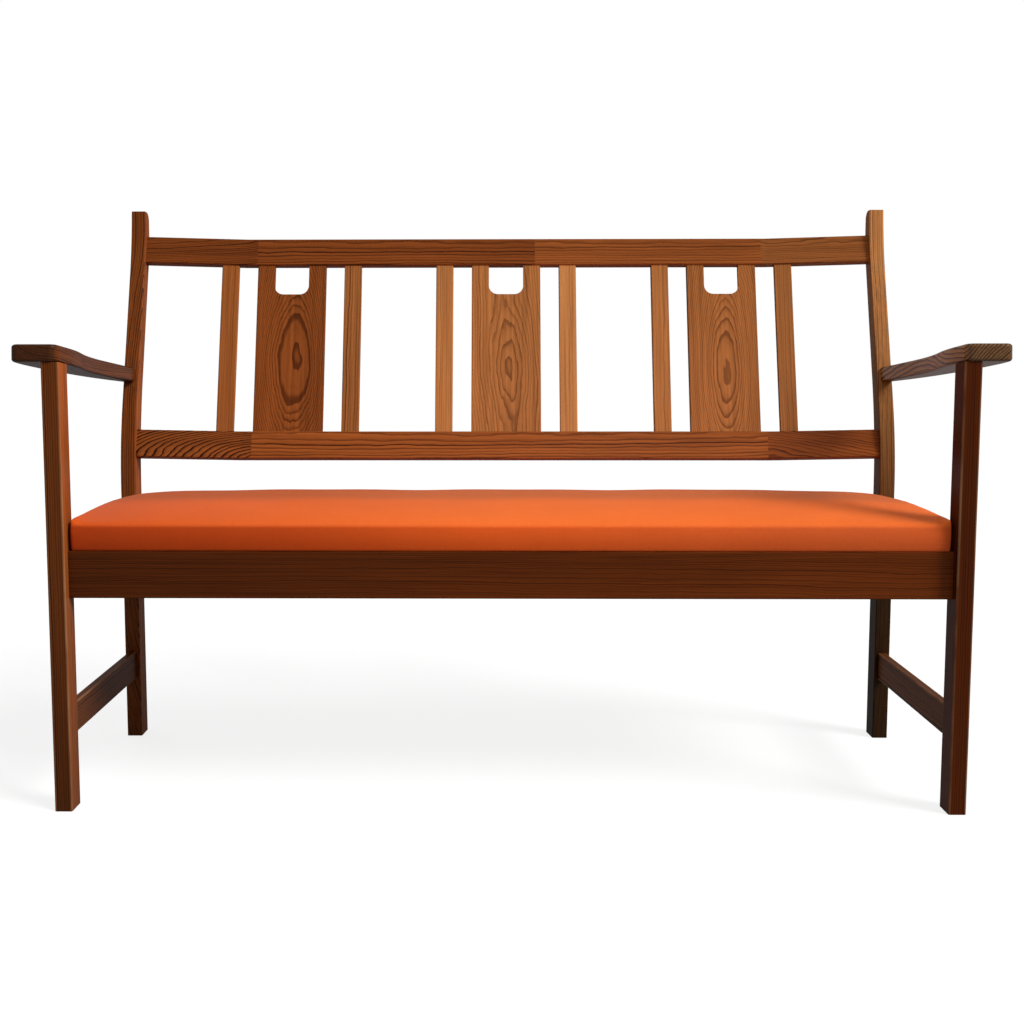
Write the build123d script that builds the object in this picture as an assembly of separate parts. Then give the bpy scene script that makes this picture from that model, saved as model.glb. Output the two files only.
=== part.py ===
from build123d import *
import os
from math import asin, atan2, cos, degrees, hypot, radians, sin, sqrt, tan

# Armed bench of stained pine with a slatted back and an upholstered seat.
# Millimetres. X runs along the bench, +Y to the back, +Z up. The origin is the centre of the
# footprint on the floor. Left and right are as seen by someone who faces the bench.

# Frame of the bench
frame_width = 1400.0
leg_width = 27.0
leg_depth = 45.0
leg_to_post = 440.0
arris_radius = 2.5

# Back posts: upright up to the seat, swept back above it, nearly upright again at the top
post_height = 967.0
sweep_start_rise = 56.5
front_sweep_radius = 470.0
front_sweep_angle = 18.7
front_return_drop = 117.0
front_return_radius = 500.0
rear_sweep_radius = 620.0
rear_sweep_angle = 18.0
rear_return_drop = 107.0
rear_return_radius = 260.0
post_crown_radius = 17.0
post_crown_share = 0.7

# Seat rails, stretchers and the bearers under the seat
seat_rail_height = 73.0
seat_rail_thickness = 20.0
seat_rail_underside = 330.5
front_rail_setback = 18.0
back_rail_setback = 12.0
rail_arris = 1.5
stretcher_height = 49.0
stretcher_thickness = 14.0
stretcher_underside = 109.5
bearer_spacing = 440.0
bearer_thickness = 20.0
bearer_height = 45.0
bearer_stub = 6.0
bearer_stub_shoulder = 3.0

# Bent back rails, each glued up from segments
back_rail_height = 51.0
back_rail_thickness = 18.0
back_rail_setback_at_post = 8.2
lower_rail_rise = 137.9
top_rail_drop = 70.4
rail_bow = 14.2
rail_end_length = 202.0
rail_bend_length = 188.0
top_rail_middle_joint_at = 49.0
finger_length = 10.0
finger_count = 3

# Splats and slats of the back
splat_width = 128.0
slat_width = 32.0
slat_thickness = 12.0
slat_gap = 34.5
post_to_slat_gap = 141.5
slat_arris = 1.2
notch_width = 64.0
notch_depth = 57.0
notch_corner_radius = 17.0

# Arms: a board that falls towards the back, wide in front and narrow at the post
arm_thickness = 26.5
arm_underside_height = 690.4
arm_fall_angle = 4.7
arm_overhang = 5.0
arm_edge_radius = 5.0
arm_outer_corner_radius = 12.0
arm_inner_corner_radius = 14.0
arm_widest_at = 66.0
arm_widest_flare = 48.0
arm_front_side_radius = 500.0
arm_outer_radius = 2400.0
arm_outer_angle = 4.4
arm_tail_radius = 1220.0
arm_inner_inset = 1.0
arm_hollow_radius = 610.0
arm_hollow_angle = 8.5
arm_swell_radius = 813.0
arm_neck_angle = 3.1

# Tenons
glue_gap = 0.1
mortise_end_gap = 1.0
tenon_shoulder = 9.0
tenon_thickness = 10.0
tenon_length = 18.0
back_tenon_length = 16.0
stretcher_tenon_thickness = 8.0
stretcher_tenon_shoulder = 7.0
slat_tenon_thickness = 8.0
slat_tenon_shoulder = 4.0
slat_tenon_length = 15.0
tenon_web = 1.0
leg_tenon_width = 13.0
leg_tenon_depth = 29.0
arm_tenon_width = 12.0
arm_tenon_thickness = 12.0
arm_tenon_root = 8.0

# Seat: plywood board, foam and a cover drawn over both
pad_side_gap = 5.0
pad_back_overlap = 20.0
cover_thickness = 1.5
cover_hem = 15.0
cover_slack = 0.5
board_thickness = 12.0
pad_border_height = 39.0
pad_border_bulge = 1.5
shoulder_depth = 28.0
front_shoulder_rise = 9.5
crown_rise = 23.5
back_shoulder_rise = 12.5
back_edge_drop = 15.0
# Places along half of the pad, and how much of its rise is left at its end
pad_station_shares = (0.0, 0.5, 0.7, 0.84, 0.94, 1.0)
pad_end_share = 0.45
pad_fall_power = 6

# Glued corner blocks, and the screws that hold the seat board
block_leg = 75.0
block_height = 30.0
screw_shank_radius = 1.9
screw_head_radius = 4.0
screw_head_height = 3.0
screw_length = 34.0
screw_sides = 10
screw_clearance = 0.1
seat_screw_inset = 28.0
seat_screw_bite = 9.0
bearer_screw_spacing = 240.0
cut_overrun = 40.0


seat_rail_top = seat_rail_underside + seat_rail_height
sweep_start_height = seat_rail_top + sweep_start_rise
lower_rail_height = seat_rail_top + lower_rail_rise
top_rail_height = post_height - top_rail_drop


def edge_setback(height, foot, radius, angle, return_height, return_radius):
    """Distance of a post's front or rear edge behind the post's foot at one height.

    Straight up to the sweep's start, an arc, a straight lean, and an arc back to upright.
    """
    lean = radians(angle)
    lean_height = sweep_start_height + radius * sin(lean)
    lean_setback = foot + radius - radius * cos(lean)
    if height <= sweep_start_height:
        return foot
    if height <= lean_height:
        return foot + radius - sqrt(radius**2 - (height - sweep_start_height) ** 2)
    if height <= return_height:
        return lean_setback + (height - lean_height) * tan(lean)
    return_setback = lean_setback + (return_height - lean_height) * tan(lean)
    tilt = asin(max(0.0, sin(lean) - (height - return_height) / return_radius))
    return return_setback + return_radius * (cos(tilt) - cos(lean))


front_edge = (
    0.0,
    front_sweep_radius,
    front_sweep_angle,
    post_height - front_return_drop,
    front_return_radius,
)
rear_edge = (
    leg_depth,
    rear_sweep_radius,
    rear_sweep_angle,
    post_height - rear_return_drop,
    rear_return_radius,
)

# Planes that the pieces share
half_width = frame_width / 2
inner_face = half_width - leg_width
leg_centre_x = half_width - leg_width / 2
rail_bend_at = inner_face - rail_bend_length
rail_joint_at = inner_face - rail_end_length
slat_offset = (splat_width + slat_width) / 2 + slat_gap
group_pitch = inner_face - post_to_slat_gap - slat_width / 2 - slat_offset
post_reach = edge_setback(post_height, *rear_edge)

# Lean of the back, taken where both back rails meet the posts
lower_setback = edge_setback(lower_rail_height, *front_edge) + back_rail_setback_at_post
upper_setback = edge_setback(top_rail_height, *front_edge) + back_rail_setback_at_post
rail_span = hypot(upper_setback - lower_setback, top_rail_height - lower_rail_height)
back_lean = atan2(upper_setback - lower_setback, top_rail_height - lower_rail_height)

# The bowed top rail is the rearmost piece, so it sets the depth that the origin halves.
top_rail_reach = (
    lower_setback
    + (rail_bow + back_rail_thickness) * cos(back_lean)
    + (rail_span + back_rail_height / 2 - rail_arris) * sin(back_lean)
)
overall_depth = arm_overhang + leg_to_post + max(post_reach, top_rail_reach)
leg_face = arm_overhang - overall_depth / 2
leg_back = leg_face + leg_depth
post_face = leg_face + leg_to_post
front_rail_face = leg_face + front_rail_setback
front_rail_back = front_rail_face + seat_rail_thickness
back_rail_face = post_face + back_rail_setback
side_rail_face = leg_centre_x - seat_rail_thickness / 2

# Plane of the back, through the fronts of both back rails
back_plane = Plane(
    origin=(
        0,
        post_face + lower_setback + rail_bow * cos(back_lean),
        lower_rail_height - rail_bow * sin(back_lean),
    ),
    x_dir=(1, 0, 0),
    z_dir=(0, sin(back_lean), cos(back_lean)),
)
rail_bend_angle = atan2(rail_bow, rail_bend_length)
lower_rail_top = back_rail_height / 2
top_rail_underside = rail_span - back_rail_height / 2

# Plane of the right arm's underside, with its origin over the leg's front face
arm_plane = Plane(
    origin=(0, leg_face, arm_underside_height),
    x_dir=(1, 0, 0),
    z_dir=(0, sin(radians(arm_fall_angle)), cos(radians(arm_fall_angle))),
)


def span(x, y, z):
    """A box between low and high values along each axis."""
    size = [high - low for low, high in (x, y, z)]
    centre = [(high + low) / 2 for low, high in (x, y, z)]
    return Pos(*centre) * Box(*size)


def tenon(seat, width, height, length):
    """A tenon that stands on the seat plane and points along its normal."""
    return seat * Box(width, height, length, align=(Align.CENTER, Align.CENTER, Align.MIN))


def mortise(seat, width, height, length):
    """The hole for that tenon, with room for glue at its cheeks and its end."""
    return tenon(seat, width + 2 * glue_gap, height + 2 * glue_gap, length + mortise_end_gap)


def rounded(solid, radius, keep):
    """Round the arrises that the keep test picks."""
    return fillet(solid.edges().filter_by(keep), radius)


def eased(solid, width, keep):
    """Take the sharpness off the arrises that the keep test picks with a small chamfer."""
    return chamfer(solid.edges().filter_by(keep), width)


def runs_along(axis):
    """A test for straight edges that run along an axis."""
    return lambda edge: edge.geom_type == GeomType.LINE and abs(edge.tangent_at(0).dot(axis)) > 0.99


def mirrored(solid):
    """The piece of the other end of the bench."""
    return mirror(solid, Plane.YZ)


# Seats of the tenons. Each is used by the piece with the tenon and by the piece with the mortise.
seat_rail_middle = seat_rail_underside + seat_rail_height / 2
stretcher_middle = stretcher_underside + stretcher_height / 2
front_rail_seat = Plane(
    origin=(inner_face, front_rail_face + seat_rail_thickness / 2, seat_rail_middle),
    x_dir=(0, 1, 0),
    z_dir=(1, 0, 0),
)
back_rail_seat = Plane(
    origin=(inner_face, back_rail_face + seat_rail_thickness / 2, seat_rail_middle),
    x_dir=(0, 1, 0),
    z_dir=(1, 0, 0),
)
side_front_seat = Plane(origin=(leg_centre_x, leg_back, seat_rail_middle), x_dir=(1, 0, 0), z_dir=(0, -1, 0))
side_back_seat = Plane(origin=(leg_centre_x, post_face, seat_rail_middle), x_dir=(1, 0, 0), z_dir=(0, 1, 0))
stretcher_front_seat = Plane(
    origin=(leg_centre_x, leg_back, stretcher_middle), x_dir=(1, 0, 0), z_dir=(0, -1, 0)
)
stretcher_back_seat = Plane(
    origin=(leg_centre_x, post_face, stretcher_middle), x_dir=(1, 0, 0), z_dir=(0, 1, 0)
)

seat_tenon = (tenon_thickness, seat_rail_height - 2 * tenon_shoulder, tenon_length)
# The side rails' tenons stop short of the cross tenons that they meet inside the leg and the post.
side_front_length = leg_back - (front_rail_face + (seat_rail_thickness + tenon_thickness) / 2)
side_back_length = back_rail_face + (seat_rail_thickness - tenon_thickness) / 2 - post_face
side_front_tenon = (seat_tenon[0], seat_tenon[1], side_front_length - tenon_web - mortise_end_gap)
side_back_tenon = (seat_tenon[0], seat_tenon[1], side_back_length - tenon_web - mortise_end_gap)
stretcher_tenon = (
    stretcher_tenon_thickness,
    stretcher_height - 2 * stretcher_tenon_shoulder,
    tenon_length,
)


def rail_front(x):
    """Place of a back rail's front face across its thickness: straight, then bowed forward."""
    return -max(0.0, abs(x) - rail_bend_at) * tan(rail_bend_angle)


def back_rail_end_seat(rail_centre):
    """Seat of a back rail's tenon on the right post, in the plane of the back."""
    depth = rail_front(inner_face) + back_rail_thickness / cos(rail_bend_angle) / 2
    return Plane(origin=(inner_face, depth, rail_centre), x_dir=(0, 1, 0), z_dir=(1, 0, 0))


back_tenon = (tenon_thickness, back_rail_height - 2 * tenon_shoulder, back_tenon_length)

# The arm meets the post where its middle plane crosses the post's leaning front face.
lean_start = sweep_start_height + front_sweep_radius * sin(radians(front_sweep_angle))
lean_start_setback = edge_setback(lean_start, *front_edge)


def arm_reach(rise):
    """Distance along the arm, from the leg's front face, to the post's leaning front face."""
    fall = radians(arm_fall_angle)
    lean = tan(radians(front_sweep_angle))
    height = arm_underside_height + rise * cos(fall) - lean_start
    ahead = leg_to_post + lean_start_setback + height * lean - rise * sin(fall)
    return ahead / (cos(fall) + lean * sin(fall))


arm_length = arm_reach(arm_thickness / 2)
# The tenon starts inside the arm, because the arm's end is cut on the slope of the post.
arm_rear_seat = Plane(
    origin=(leg_centre_x, arm_length - arm_tenon_root, arm_thickness / 2), x_dir=(1, 0, 0), z_dir=(0, 1, 0)
)
arm_rear_tenon = (arm_tenon_width, arm_tenon_thickness, arm_tenon_root + back_tenon_length)
leg_tenon_foot = arm_underside_height - (leg_depth / 2) * tan(radians(arm_fall_angle))
leg_top_seat = Plane(origin=(leg_centre_x, leg_face + leg_depth / 2, leg_tenon_foot))
leg_top_tenon = (leg_tenon_width, leg_tenon_depth, tenon_length)


def make_front_leg():
    """The right front leg: its top is cut to the slope of the arm and carries a tenon."""
    back_height = arm_underside_height - leg_depth * tan(radians(arm_fall_angle))
    outline = Polyline(
        (leg_face, 0), (leg_back, 0), (leg_back, back_height), (leg_face, arm_underside_height), close=True
    )
    leg = Pos(inner_face, 0, 0) * extrude(make_face(Plane.YZ * outline), leg_width, dir=(1, 0, 0))
    leg = rounded(leg, arris_radius, runs_along(Vector(0, 0, 1)))
    leg += tenon(leg_top_seat, *leg_top_tenon)
    leg -= mortise(front_rail_seat, *seat_tenon)
    leg -= mortise(side_front_seat, *side_front_tenon)
    leg -= mortise(stretcher_front_seat, *stretcher_tenon)
    return leg


def edge_point(edge, height):
    """A point of a post's edge in the side view."""
    return (post_face + edge_setback(height, *edge), height)


def edge_curves(edge):
    """Lines and arcs of one edge of the post, from the foot to the top."""
    foot, radius, angle, return_height, return_radius = edge
    lean_height = sweep_start_height + radius * sin(radians(angle))
    upright_height = return_height + return_radius * sin(radians(angle))
    arc_end = min(upright_height, post_height)
    curves = Line(edge_point(edge, 0), edge_point(edge, sweep_start_height))
    for low, high, is_arc in (
        (sweep_start_height, lean_height, True),
        (lean_height, return_height, False),
        (return_height, arc_end, True),
    ):
        ends = edge_point(edge, low), edge_point(edge, high)
        if is_arc:
            curves += ThreePointArc(ends[0], edge_point(edge, (low + high) / 2), ends[1])
        else:
            curves += Line(*ends)
    if arc_end < post_height:
        curves += Line(edge_point(edge, arc_end), edge_point(edge, post_height))
    return curves


def make_back_post():
    """The right back post, swept back above the seat, with its top rounded to the rear."""
    outline = edge_curves(front_edge) + edge_curves(rear_edge)
    outline += Line(edge_point(front_edge, 0), edge_point(rear_edge, 0))
    outline += Line(edge_point(front_edge, post_height), edge_point(rear_edge, post_height))
    side = make_face(Plane.YZ * outline)
    top_depth = edge_setback(post_height, *rear_edge) - edge_setback(post_height, *front_edge)
    top_corners = side.vertices().group_by(Axis.Z)[-1].sort_by(Axis.Y)
    side = fillet(top_corners[-1], min(post_crown_radius, post_crown_share * top_depth))
    post = Pos(inner_face, 0, 0) * extrude(side, leg_width, dir=(1, 0, 0))
    post = rounded(post, arris_radius, lambda edge: edge.bounding_box().size.X < glue_gap and edge.center().Z > 0)
    post -= mortise(back_rail_seat, *seat_tenon)
    post -= mortise(side_back_seat, *side_back_tenon)
    post -= mortise(stretcher_back_seat, *stretcher_tenon)
    post -= arm_plane * mortise(arm_rear_seat, *arm_rear_tenon)
    for rail_centre in (0, rail_span):
        post -= back_plane * mortise(back_rail_end_seat(rail_centre), *back_tenon)
    return post


def post_front_region():
    """Everything behind a post's front face, to trim the arm's end to the face."""
    far = post_face + post_reach + cut_overrun
    outline = edge_curves(front_edge)
    outline += Polyline(
        edge_point(front_edge, 0), (far, 0), (far, post_height), edge_point(front_edge, post_height)
    )
    reach = half_width + arm_widest_flare + cut_overrun
    return extrude(make_face(Plane.YZ * outline), reach, dir=(1, 0, 0))


def arm_outer_side(tip):
    """The outer side of the right arm in plan, from its front corner to beyond the post."""
    widest = (half_width + arm_widest_flare, arm_widest_at)
    front_angle = degrees(asin((arm_widest_at + arm_overhang) / arm_front_side_radius))
    front = JernArc(widest, (0, -1), arm_front_side_radius, -front_angle)
    side = JernArc(widest, (0, 1), arm_outer_radius, arm_outer_angle)
    run = (tip - (side @ 1).Y) / arm_tail_radius + sin(radians(arm_outer_angle))
    tail = JernArc(side @ 1, side % 1, arm_tail_radius, degrees(asin(run)) - arm_outer_angle)
    return front, side, tail


def arm_inner_side(tip):
    """The inner side of the right arm in plan: straight, hollow, swelling and straight again."""
    inner = inner_face + arm_inner_inset
    straight = Line((inner, -arm_overhang), (inner, arm_widest_at))
    hollow = JernArc(straight @ 1, (0, 1), arm_hollow_radius, -arm_hollow_angle)
    swell = JernArc(hollow @ 1, hollow % 1, arm_swell_radius, arm_hollow_angle + arm_neck_angle)
    neck_length = (tip - (swell @ 1).Y) / cos(radians(arm_neck_angle))
    neck = Line(swell @ 1, swell @ 1 + (swell % 1) * neck_length)
    return straight, hollow, swell, neck


def make_arm():
    """The right arm: a paddle of S-curved outline, on the leg's tenon and tenoned into the post."""
    tip = arm_length + arm_thickness
    front, side, tail = arm_outer_side(tip)
    straight, hollow, swell, neck = arm_inner_side(tip)
    outline = front + side + tail + Line(tail @ 1, neck @ 1) + neck + swell + hollow + straight
    outline += Line(straight @ 0, front @ 1)
    board = make_face(outline)
    front_corners = board.vertices().group_by(Axis.Y)[0].sort_by(Axis.X)
    board = fillet(front_corners[0], arm_inner_corner_radius)
    front_corners = board.vertices().group_by(Axis.Y)[0].sort_by(Axis.X)
    board = fillet(front_corners[-1], arm_outer_corner_radius)
    arm = extrude(board, arm_thickness, dir=(0, 0, 1))
    arm = rounded(
        arm,
        arm_edge_radius,
        lambda edge: edge.bounding_box().size.Z < glue_gap and edge.center().Y < arm_length,
    )
    arm = arm_plane * arm - post_front_region()
    arm += arm_plane * tenon(arm_rear_seat, *arm_rear_tenon)
    arm -= mortise(leg_top_seat, *leg_top_tenon)
    return arm


def make_cross_rail(face, seat, bearer_side):
    """A seat rail along the bench, tenoned at both ends, with housings for the bearers."""
    rail = span(
        (-inner_face, inner_face), (face, face + seat_rail_thickness), (seat_rail_underside, seat_rail_top)
    )
    rail = eased(rail, rail_arris, runs_along(Vector(1, 0, 0)))
    end = tenon(seat, *seat_tenon)
    rail += end + mirrored(end)
    for side in (-1, 1):
        rail -= bearer_stub_at(side, bearer_side, glue_gap, mortise_end_gap)
    return rail


def make_side_rail():
    """The right side rail between the leg and the post."""
    rail = span(
        (side_rail_face, side_rail_face + seat_rail_thickness),
        (leg_back, post_face),
        (seat_rail_underside, seat_rail_top),
    )
    rail = eased(rail, rail_arris, runs_along(Vector(0, 1, 0)))
    rail += tenon(side_front_seat, *side_front_tenon)
    rail += tenon(side_back_seat, *side_back_tenon)
    return rail


def make_side_stretcher():
    """The right stretcher, low between the leg and the post."""
    low = leg_centre_x - stretcher_thickness / 2
    rail = span(
        (low, low + stretcher_thickness),
        (leg_back, post_face),
        (stretcher_underside, stretcher_underside + stretcher_height),
    )
    rail = eased(rail, rail_arris, runs_along(Vector(0, 1, 0)))
    rail += tenon(stretcher_front_seat, *stretcher_tenon)
    rail += tenon(stretcher_back_seat, *stretcher_tenon)
    return rail


def finger_line(x):
    """Points of a finger joint across the rail's thickness, from its front to its back."""
    steps = 2 * finger_count
    return [
        (x + (-1) ** step * finger_length / 2, step * back_rail_thickness / steps)
        for step in range(steps + 1)
    ]


def rail_end_points(sign):
    """Front and back corner of a back rail at a post."""
    front = rail_front(inner_face)
    return [(sign * inner_face, front), (sign * inner_face, front + back_rail_thickness / cos(rail_bend_angle))]


def rail_bend_points(sign):
    """Front and back corner of a back rail at its bend."""
    shift = back_rail_thickness * tan(rail_bend_angle / 2)
    return [(sign * rail_bend_at, 0), (sign * (rail_bend_at + shift), back_rail_thickness)]


def make_back_rail_segment(left, right, rail_centre):
    """A segment of a bent back rail between two ends, each "post" or the place of a joint."""
    left_line = rail_end_points(-1) if left == "post" else finger_line(left)
    right_line = rail_end_points(1) if right == "post" else finger_line(right)
    bends = []
    if left == "post":
        bends = rail_bend_points(-1)
    if right == "post":
        bends = rail_bend_points(1)
    corners = left_line[::-1] + bends[:1] + right_line + bends[1:]
    outline = make_face(Polyline(*corners, close=True))
    segment = Pos(0, 0, rail_centre - back_rail_height / 2) * extrude(outline, back_rail_height)
    segment = eased(segment, rail_arris, is_long_rail_edge)
    for sign, end in ((-1, left), (1, right)):
        if end == "post":
            end_tenon = tenon(back_rail_end_seat(rail_centre), *back_tenon)
            segment += end_tenon if sign > 0 else mirrored(end_tenon)
    for cutter in upright_mortises(rail_centre):
        if cutter.bounding_box().max.X > corners[0][0] and cutter.bounding_box().min.X < right_line[0][0]:
            segment -= cutter
    return back_plane * segment


def is_long_rail_edge(edge):
    """A test for the arrises along a rail's top and underside, not those of a finger joint."""
    size = edge.bounding_box().size
    return size.Z < glue_gap and size.X > 2 * finger_length


def station(x):
    """Location of an upright in the plane of the back: on the rails' front, turned with them."""
    turn = 0 if abs(x) <= rail_bend_at else -degrees(rail_bend_angle) * (1 if x > 0 else -1)
    return Pos(x, rail_front(x), 0) * Rot(0, 0, turn)


slat_front = (back_rail_thickness - slat_thickness) / 2
slat_seat_depth = back_rail_thickness / 2
slat_tenon = (slat_width - 2 * slat_tenon_shoulder, slat_tenon_thickness, slat_tenon_length)
splat_tenon = (splat_width - 2 * slat_tenon_shoulder, slat_tenon_thickness, slat_tenon_length)
tongue_width = (splat_width - notch_width) / 2
tongue_tenon = (tongue_width - 2 * slat_tenon_shoulder, slat_tenon_thickness, slat_tenon_length)
tongue_offset = (splat_width - tongue_width) / 2
splat_places = (-group_pitch, 0.0, group_pitch)
slat_places = sorted(place + side * slat_offset for place in splat_places for side in (-1, 1))


def lower_seat(offset=0):
    """Seat of an upright's lower tenon, on the top of the lower rail."""
    return Plane(origin=(offset, slat_seat_depth, lower_rail_top), x_dir=(1, 0, 0), z_dir=(0, 0, -1))


def upper_seat(offset=0):
    """Seat of an upright's upper tenon, under the top rail."""
    return Plane(origin=(offset, slat_seat_depth, top_rail_underside), x_dir=(1, 0, 0), z_dir=(0, 0, 1))


def upright_mortises(rail_centre):
    """All holes for slats and splats in one back rail."""
    cutters = []
    for x in slat_places:
        seat = lower_seat() if rail_centre == 0 else upper_seat()
        cutters.append(station(x) * mortise(seat, *slat_tenon))
    for x in splat_places:
        if rail_centre == 0:
            cutters.append(station(x) * mortise(lower_seat(), *splat_tenon))
        else:
            for side in (-1, 1):
                cutters.append(station(x) * mortise(upper_seat(side * tongue_offset), *tongue_tenon))
    return cutters


def make_slat(x):
    """A plain slat of the back with a tenon at each end."""
    slat = span(
        (-slat_width / 2, slat_width / 2),
        (slat_front, slat_front + slat_thickness),
        (lower_rail_top, top_rail_underside),
    )
    slat = eased(slat, slat_arris, runs_along(Vector(0, 0, 1)))
    slat += tenon(lower_seat(), *slat_tenon)
    slat += tenon(upper_seat(), *slat_tenon)
    return back_plane * (station(x) * slat)


def make_splat(x):
    """A wide splat whose top is notched between two tongues, as a hand hold."""
    half = splat_width / 2
    notch_foot = top_rail_underside - notch_depth
    side = notch_width / 2
    board = make_face(
        Polyline(
            (-half, lower_rail_top),
            (half, lower_rail_top),
            (half, top_rail_underside),
            (side, top_rail_underside),
            (side, notch_foot),
            (-side, notch_foot),
            (-side, top_rail_underside),
            (-half, top_rail_underside),
            close=True,
        )
    )
    notch_corners = [
        corner
        for corner in board.vertices()
        if abs(corner.Y - notch_foot) < glue_gap and abs(corner.X) < half
    ]
    board = fillet(notch_corners, notch_corner_radius)
    splat = Pos(0, slat_front + slat_thickness, 0) * Rot(90, 0, 0) * extrude(board, slat_thickness)
    splat = eased(
        splat, slat_arris, lambda edge: abs(abs(edge.center().X) - half) < glue_gap and edge.length > splat_width
    )
    splat += tenon(lower_seat(), *splat_tenon)
    for tongue in (-1, 1):
        splat += tenon(upper_seat(tongue * tongue_offset), *tongue_tenon)
    return back_plane * (station(x) * splat)


def bearer_stub_at(side, end, gap, end_gap):
    """The stub of a bearer in a seat rail. End is -1 at the front rail and 1 at the back rail."""
    root = front_rail_back if end < 0 else back_rail_face
    tip = root + end * (bearer_stub + end_gap)
    half = bearer_thickness / 2 - bearer_stub_shoulder + gap
    centre = side * bearer_spacing / 2
    bottom = seat_rail_top - bearer_height + bearer_stub_shoulder - gap
    top = seat_rail_top - bearer_stub_shoulder + gap
    return span((centre - half, centre + half), sorted((root, tip)), (bottom, top))


def make_bearer(side):
    """A bearer under the seat board, between the front and the back seat rail."""
    centre = side * bearer_spacing / 2
    bearer = span(
        (centre - bearer_thickness / 2, centre + bearer_thickness / 2),
        (front_rail_back, back_rail_face),
        (seat_rail_top - bearer_height, seat_rail_top),
    )
    for end in (-1, 1):
        bearer += bearer_stub_at(side, end, 0, 0)
    for y in bearer_screw_rows():
        bearer -= seat_screw_hole(centre, y)
    return bearer


def bearer_screw_rows():
    """Rows of the screws that hold the seat board to the bearers."""
    middle = (front_rail_back + back_rail_face) / 2
    return [middle + row * bearer_screw_spacing / 2 for row in (-1, 1)]


def screw(grow=0):
    """A plain countersunk screw along Z: its head's top at 0, its point at minus its length."""
    shank_section = RegularPolygon(screw_shank_radius + grow, screw_sides)
    head_section = RegularPolygon(screw_head_radius + grow, screw_sides)
    shank = extrude(shank_section, screw_length + grow, dir=(0, 0, -1))
    head = loft([Pos(0, 0, -screw_head_height) * shank_section, head_section], ruled=True)
    return head + shank


def counterbore():
    """The hole above a sunk screw's head."""
    section = RegularPolygon(screw_head_radius + screw_clearance, screw_sides)
    return extrude(section, cut_overrun, dir=(0, 0, 1))


def seat_screw_place(x, y):
    """Where a screw goes upwards, through a block or bearer, into the seat board."""
    point = seat_rail_top + cover_thickness + seat_screw_bite
    return Pos(x, y, point - screw_length) * Rot(180, 0, 0)


def seat_screw_hole(x, y):
    """A clearance hole with a counterbore for a screw that goes up into the seat board."""
    place = seat_screw_place(x, y)
    return place * screw(screw_clearance) + place * counterbore()


def block_screw_xy(front):
    """Plan position of the seat screw in a right-hand corner block."""
    y = front_rail_back + seat_screw_inset if front else back_rail_face - seat_screw_inset
    return side_rail_face - seat_screw_inset, y


def make_corner_block(front):
    """A right-hand corner block, cut around the leg's inner corner and glued to both rails."""
    rail = front_rail_back if front else back_rail_face
    corner = leg_back if front else post_face
    toward = 1 if front else -1
    reach = block_leg if front else block_leg + abs(corner - rail)
    outline = Polyline(
        (side_rail_face, corner),
        (side_rail_face, rail + toward * reach),
        (side_rail_face - block_leg, rail),
        (inner_face, rail),
        (inner_face, corner),
        close=True,
    )
    block = Pos(0, 0, seat_rail_top - block_height) * extrude(make_face(outline), block_height)
    return block - seat_screw_hole(*block_screw_xy(front))


def seat_screw_places():
    """Plan positions of all screws that hold the seat board."""
    blocks = [block_screw_xy(front) for front in (True, False)]
    blocks += [(-x, y) for x, y in blocks]
    bearers = [(side * bearer_spacing / 2, y) for side in (-1, 1) for y in bearer_screw_rows()]
    return blocks + bearers


def make_seat_screws():
    """All screws that hold the seat board, driven from below."""
    return [seat_screw_place(x, y) * screw() for x, y in seat_screw_places()]


pad_half = inner_face - pad_side_gap
pad_front = front_rail_face
pad_back = back_rail_face + pad_back_overlap
pad_bottom = seat_rail_top


def pad_section(x, share, inset, bottom):
    """Outline of the pad across the bench at one place along it."""
    front = pad_front + inset
    back = pad_back - inset
    crease = pad_bottom + pad_border_height - inset
    rise_front = crease + front_shoulder_rise * share
    rise_back = crease + back_shoulder_rise * share
    rise_crown = crease + crown_rise * share
    back_edge = rise_back - back_edge_drop * (share + 1) / 2
    middle = (front + back) / 2
    bow = pad_border_bulge
    corners = (front + bow, bottom), (front + bow, crease), (front + shoulder_depth, rise_front)
    rear = (back - shoulder_depth, rise_back), (back - bow, back_edge), (back - bow, bottom)
    border_middle = (bottom + crease) / 2
    quarter = shoulder_depth / 2
    section = ThreePointArc(corners[0], (front, border_middle), corners[1])
    section += ThreePointArc(
        corners[1], (front + bow + quarter, (crease + rise_front) / 2 + bow), corners[2]
    )
    section += ThreePointArc(corners[2], (middle, rise_crown), rear[0])
    section += ThreePointArc(
        rear[0], (back - bow - quarter, (back_edge + rise_back) / 2 + 2 * bow), rear[1]
    )
    section += ThreePointArc(rear[1], (back, (bottom + back_edge) / 2), rear[2])
    section += Line(rear[2], corners[0])
    return Pos(x, 0, 0) * make_face(Plane.YZ * section)


def pad_form(inset, bottom):
    """The crowned pad, drawn in by an inset: lofted through sections along the bench.

    The rise falls off towards the ends with a power of the distance from the middle.
    """
    half = pad_half - inset
    shares = [-share for share in pad_station_shares[:0:-1]] + list(pad_station_shares)
    sections = [
        pad_section(share * half, 1 - (1 - pad_end_share) * abs(share) ** pad_fall_power, inset, bottom)
        for share in shares
    ]
    return loft(sections, ruled=True)


def make_seat_board():
    """The plywood board that the foam lies on, screwed down from below."""
    inset = cover_thickness + cover_slack + pad_border_bulge
    low = pad_bottom + cover_thickness
    board = span(
        (inset - pad_half, pad_half - inset),
        (pad_front + inset, pad_back - inset),
        (low, low + board_thickness),
    )
    for x, y in seat_screw_places():
        board -= seat_screw_place(x, y) * screw(screw_clearance)
    return board


def make_seat_foam():
    """The foam block with its crown, on the board and under the cover."""
    return pad_form(cover_thickness + cover_slack, pad_bottom + cover_thickness + board_thickness)


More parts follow.
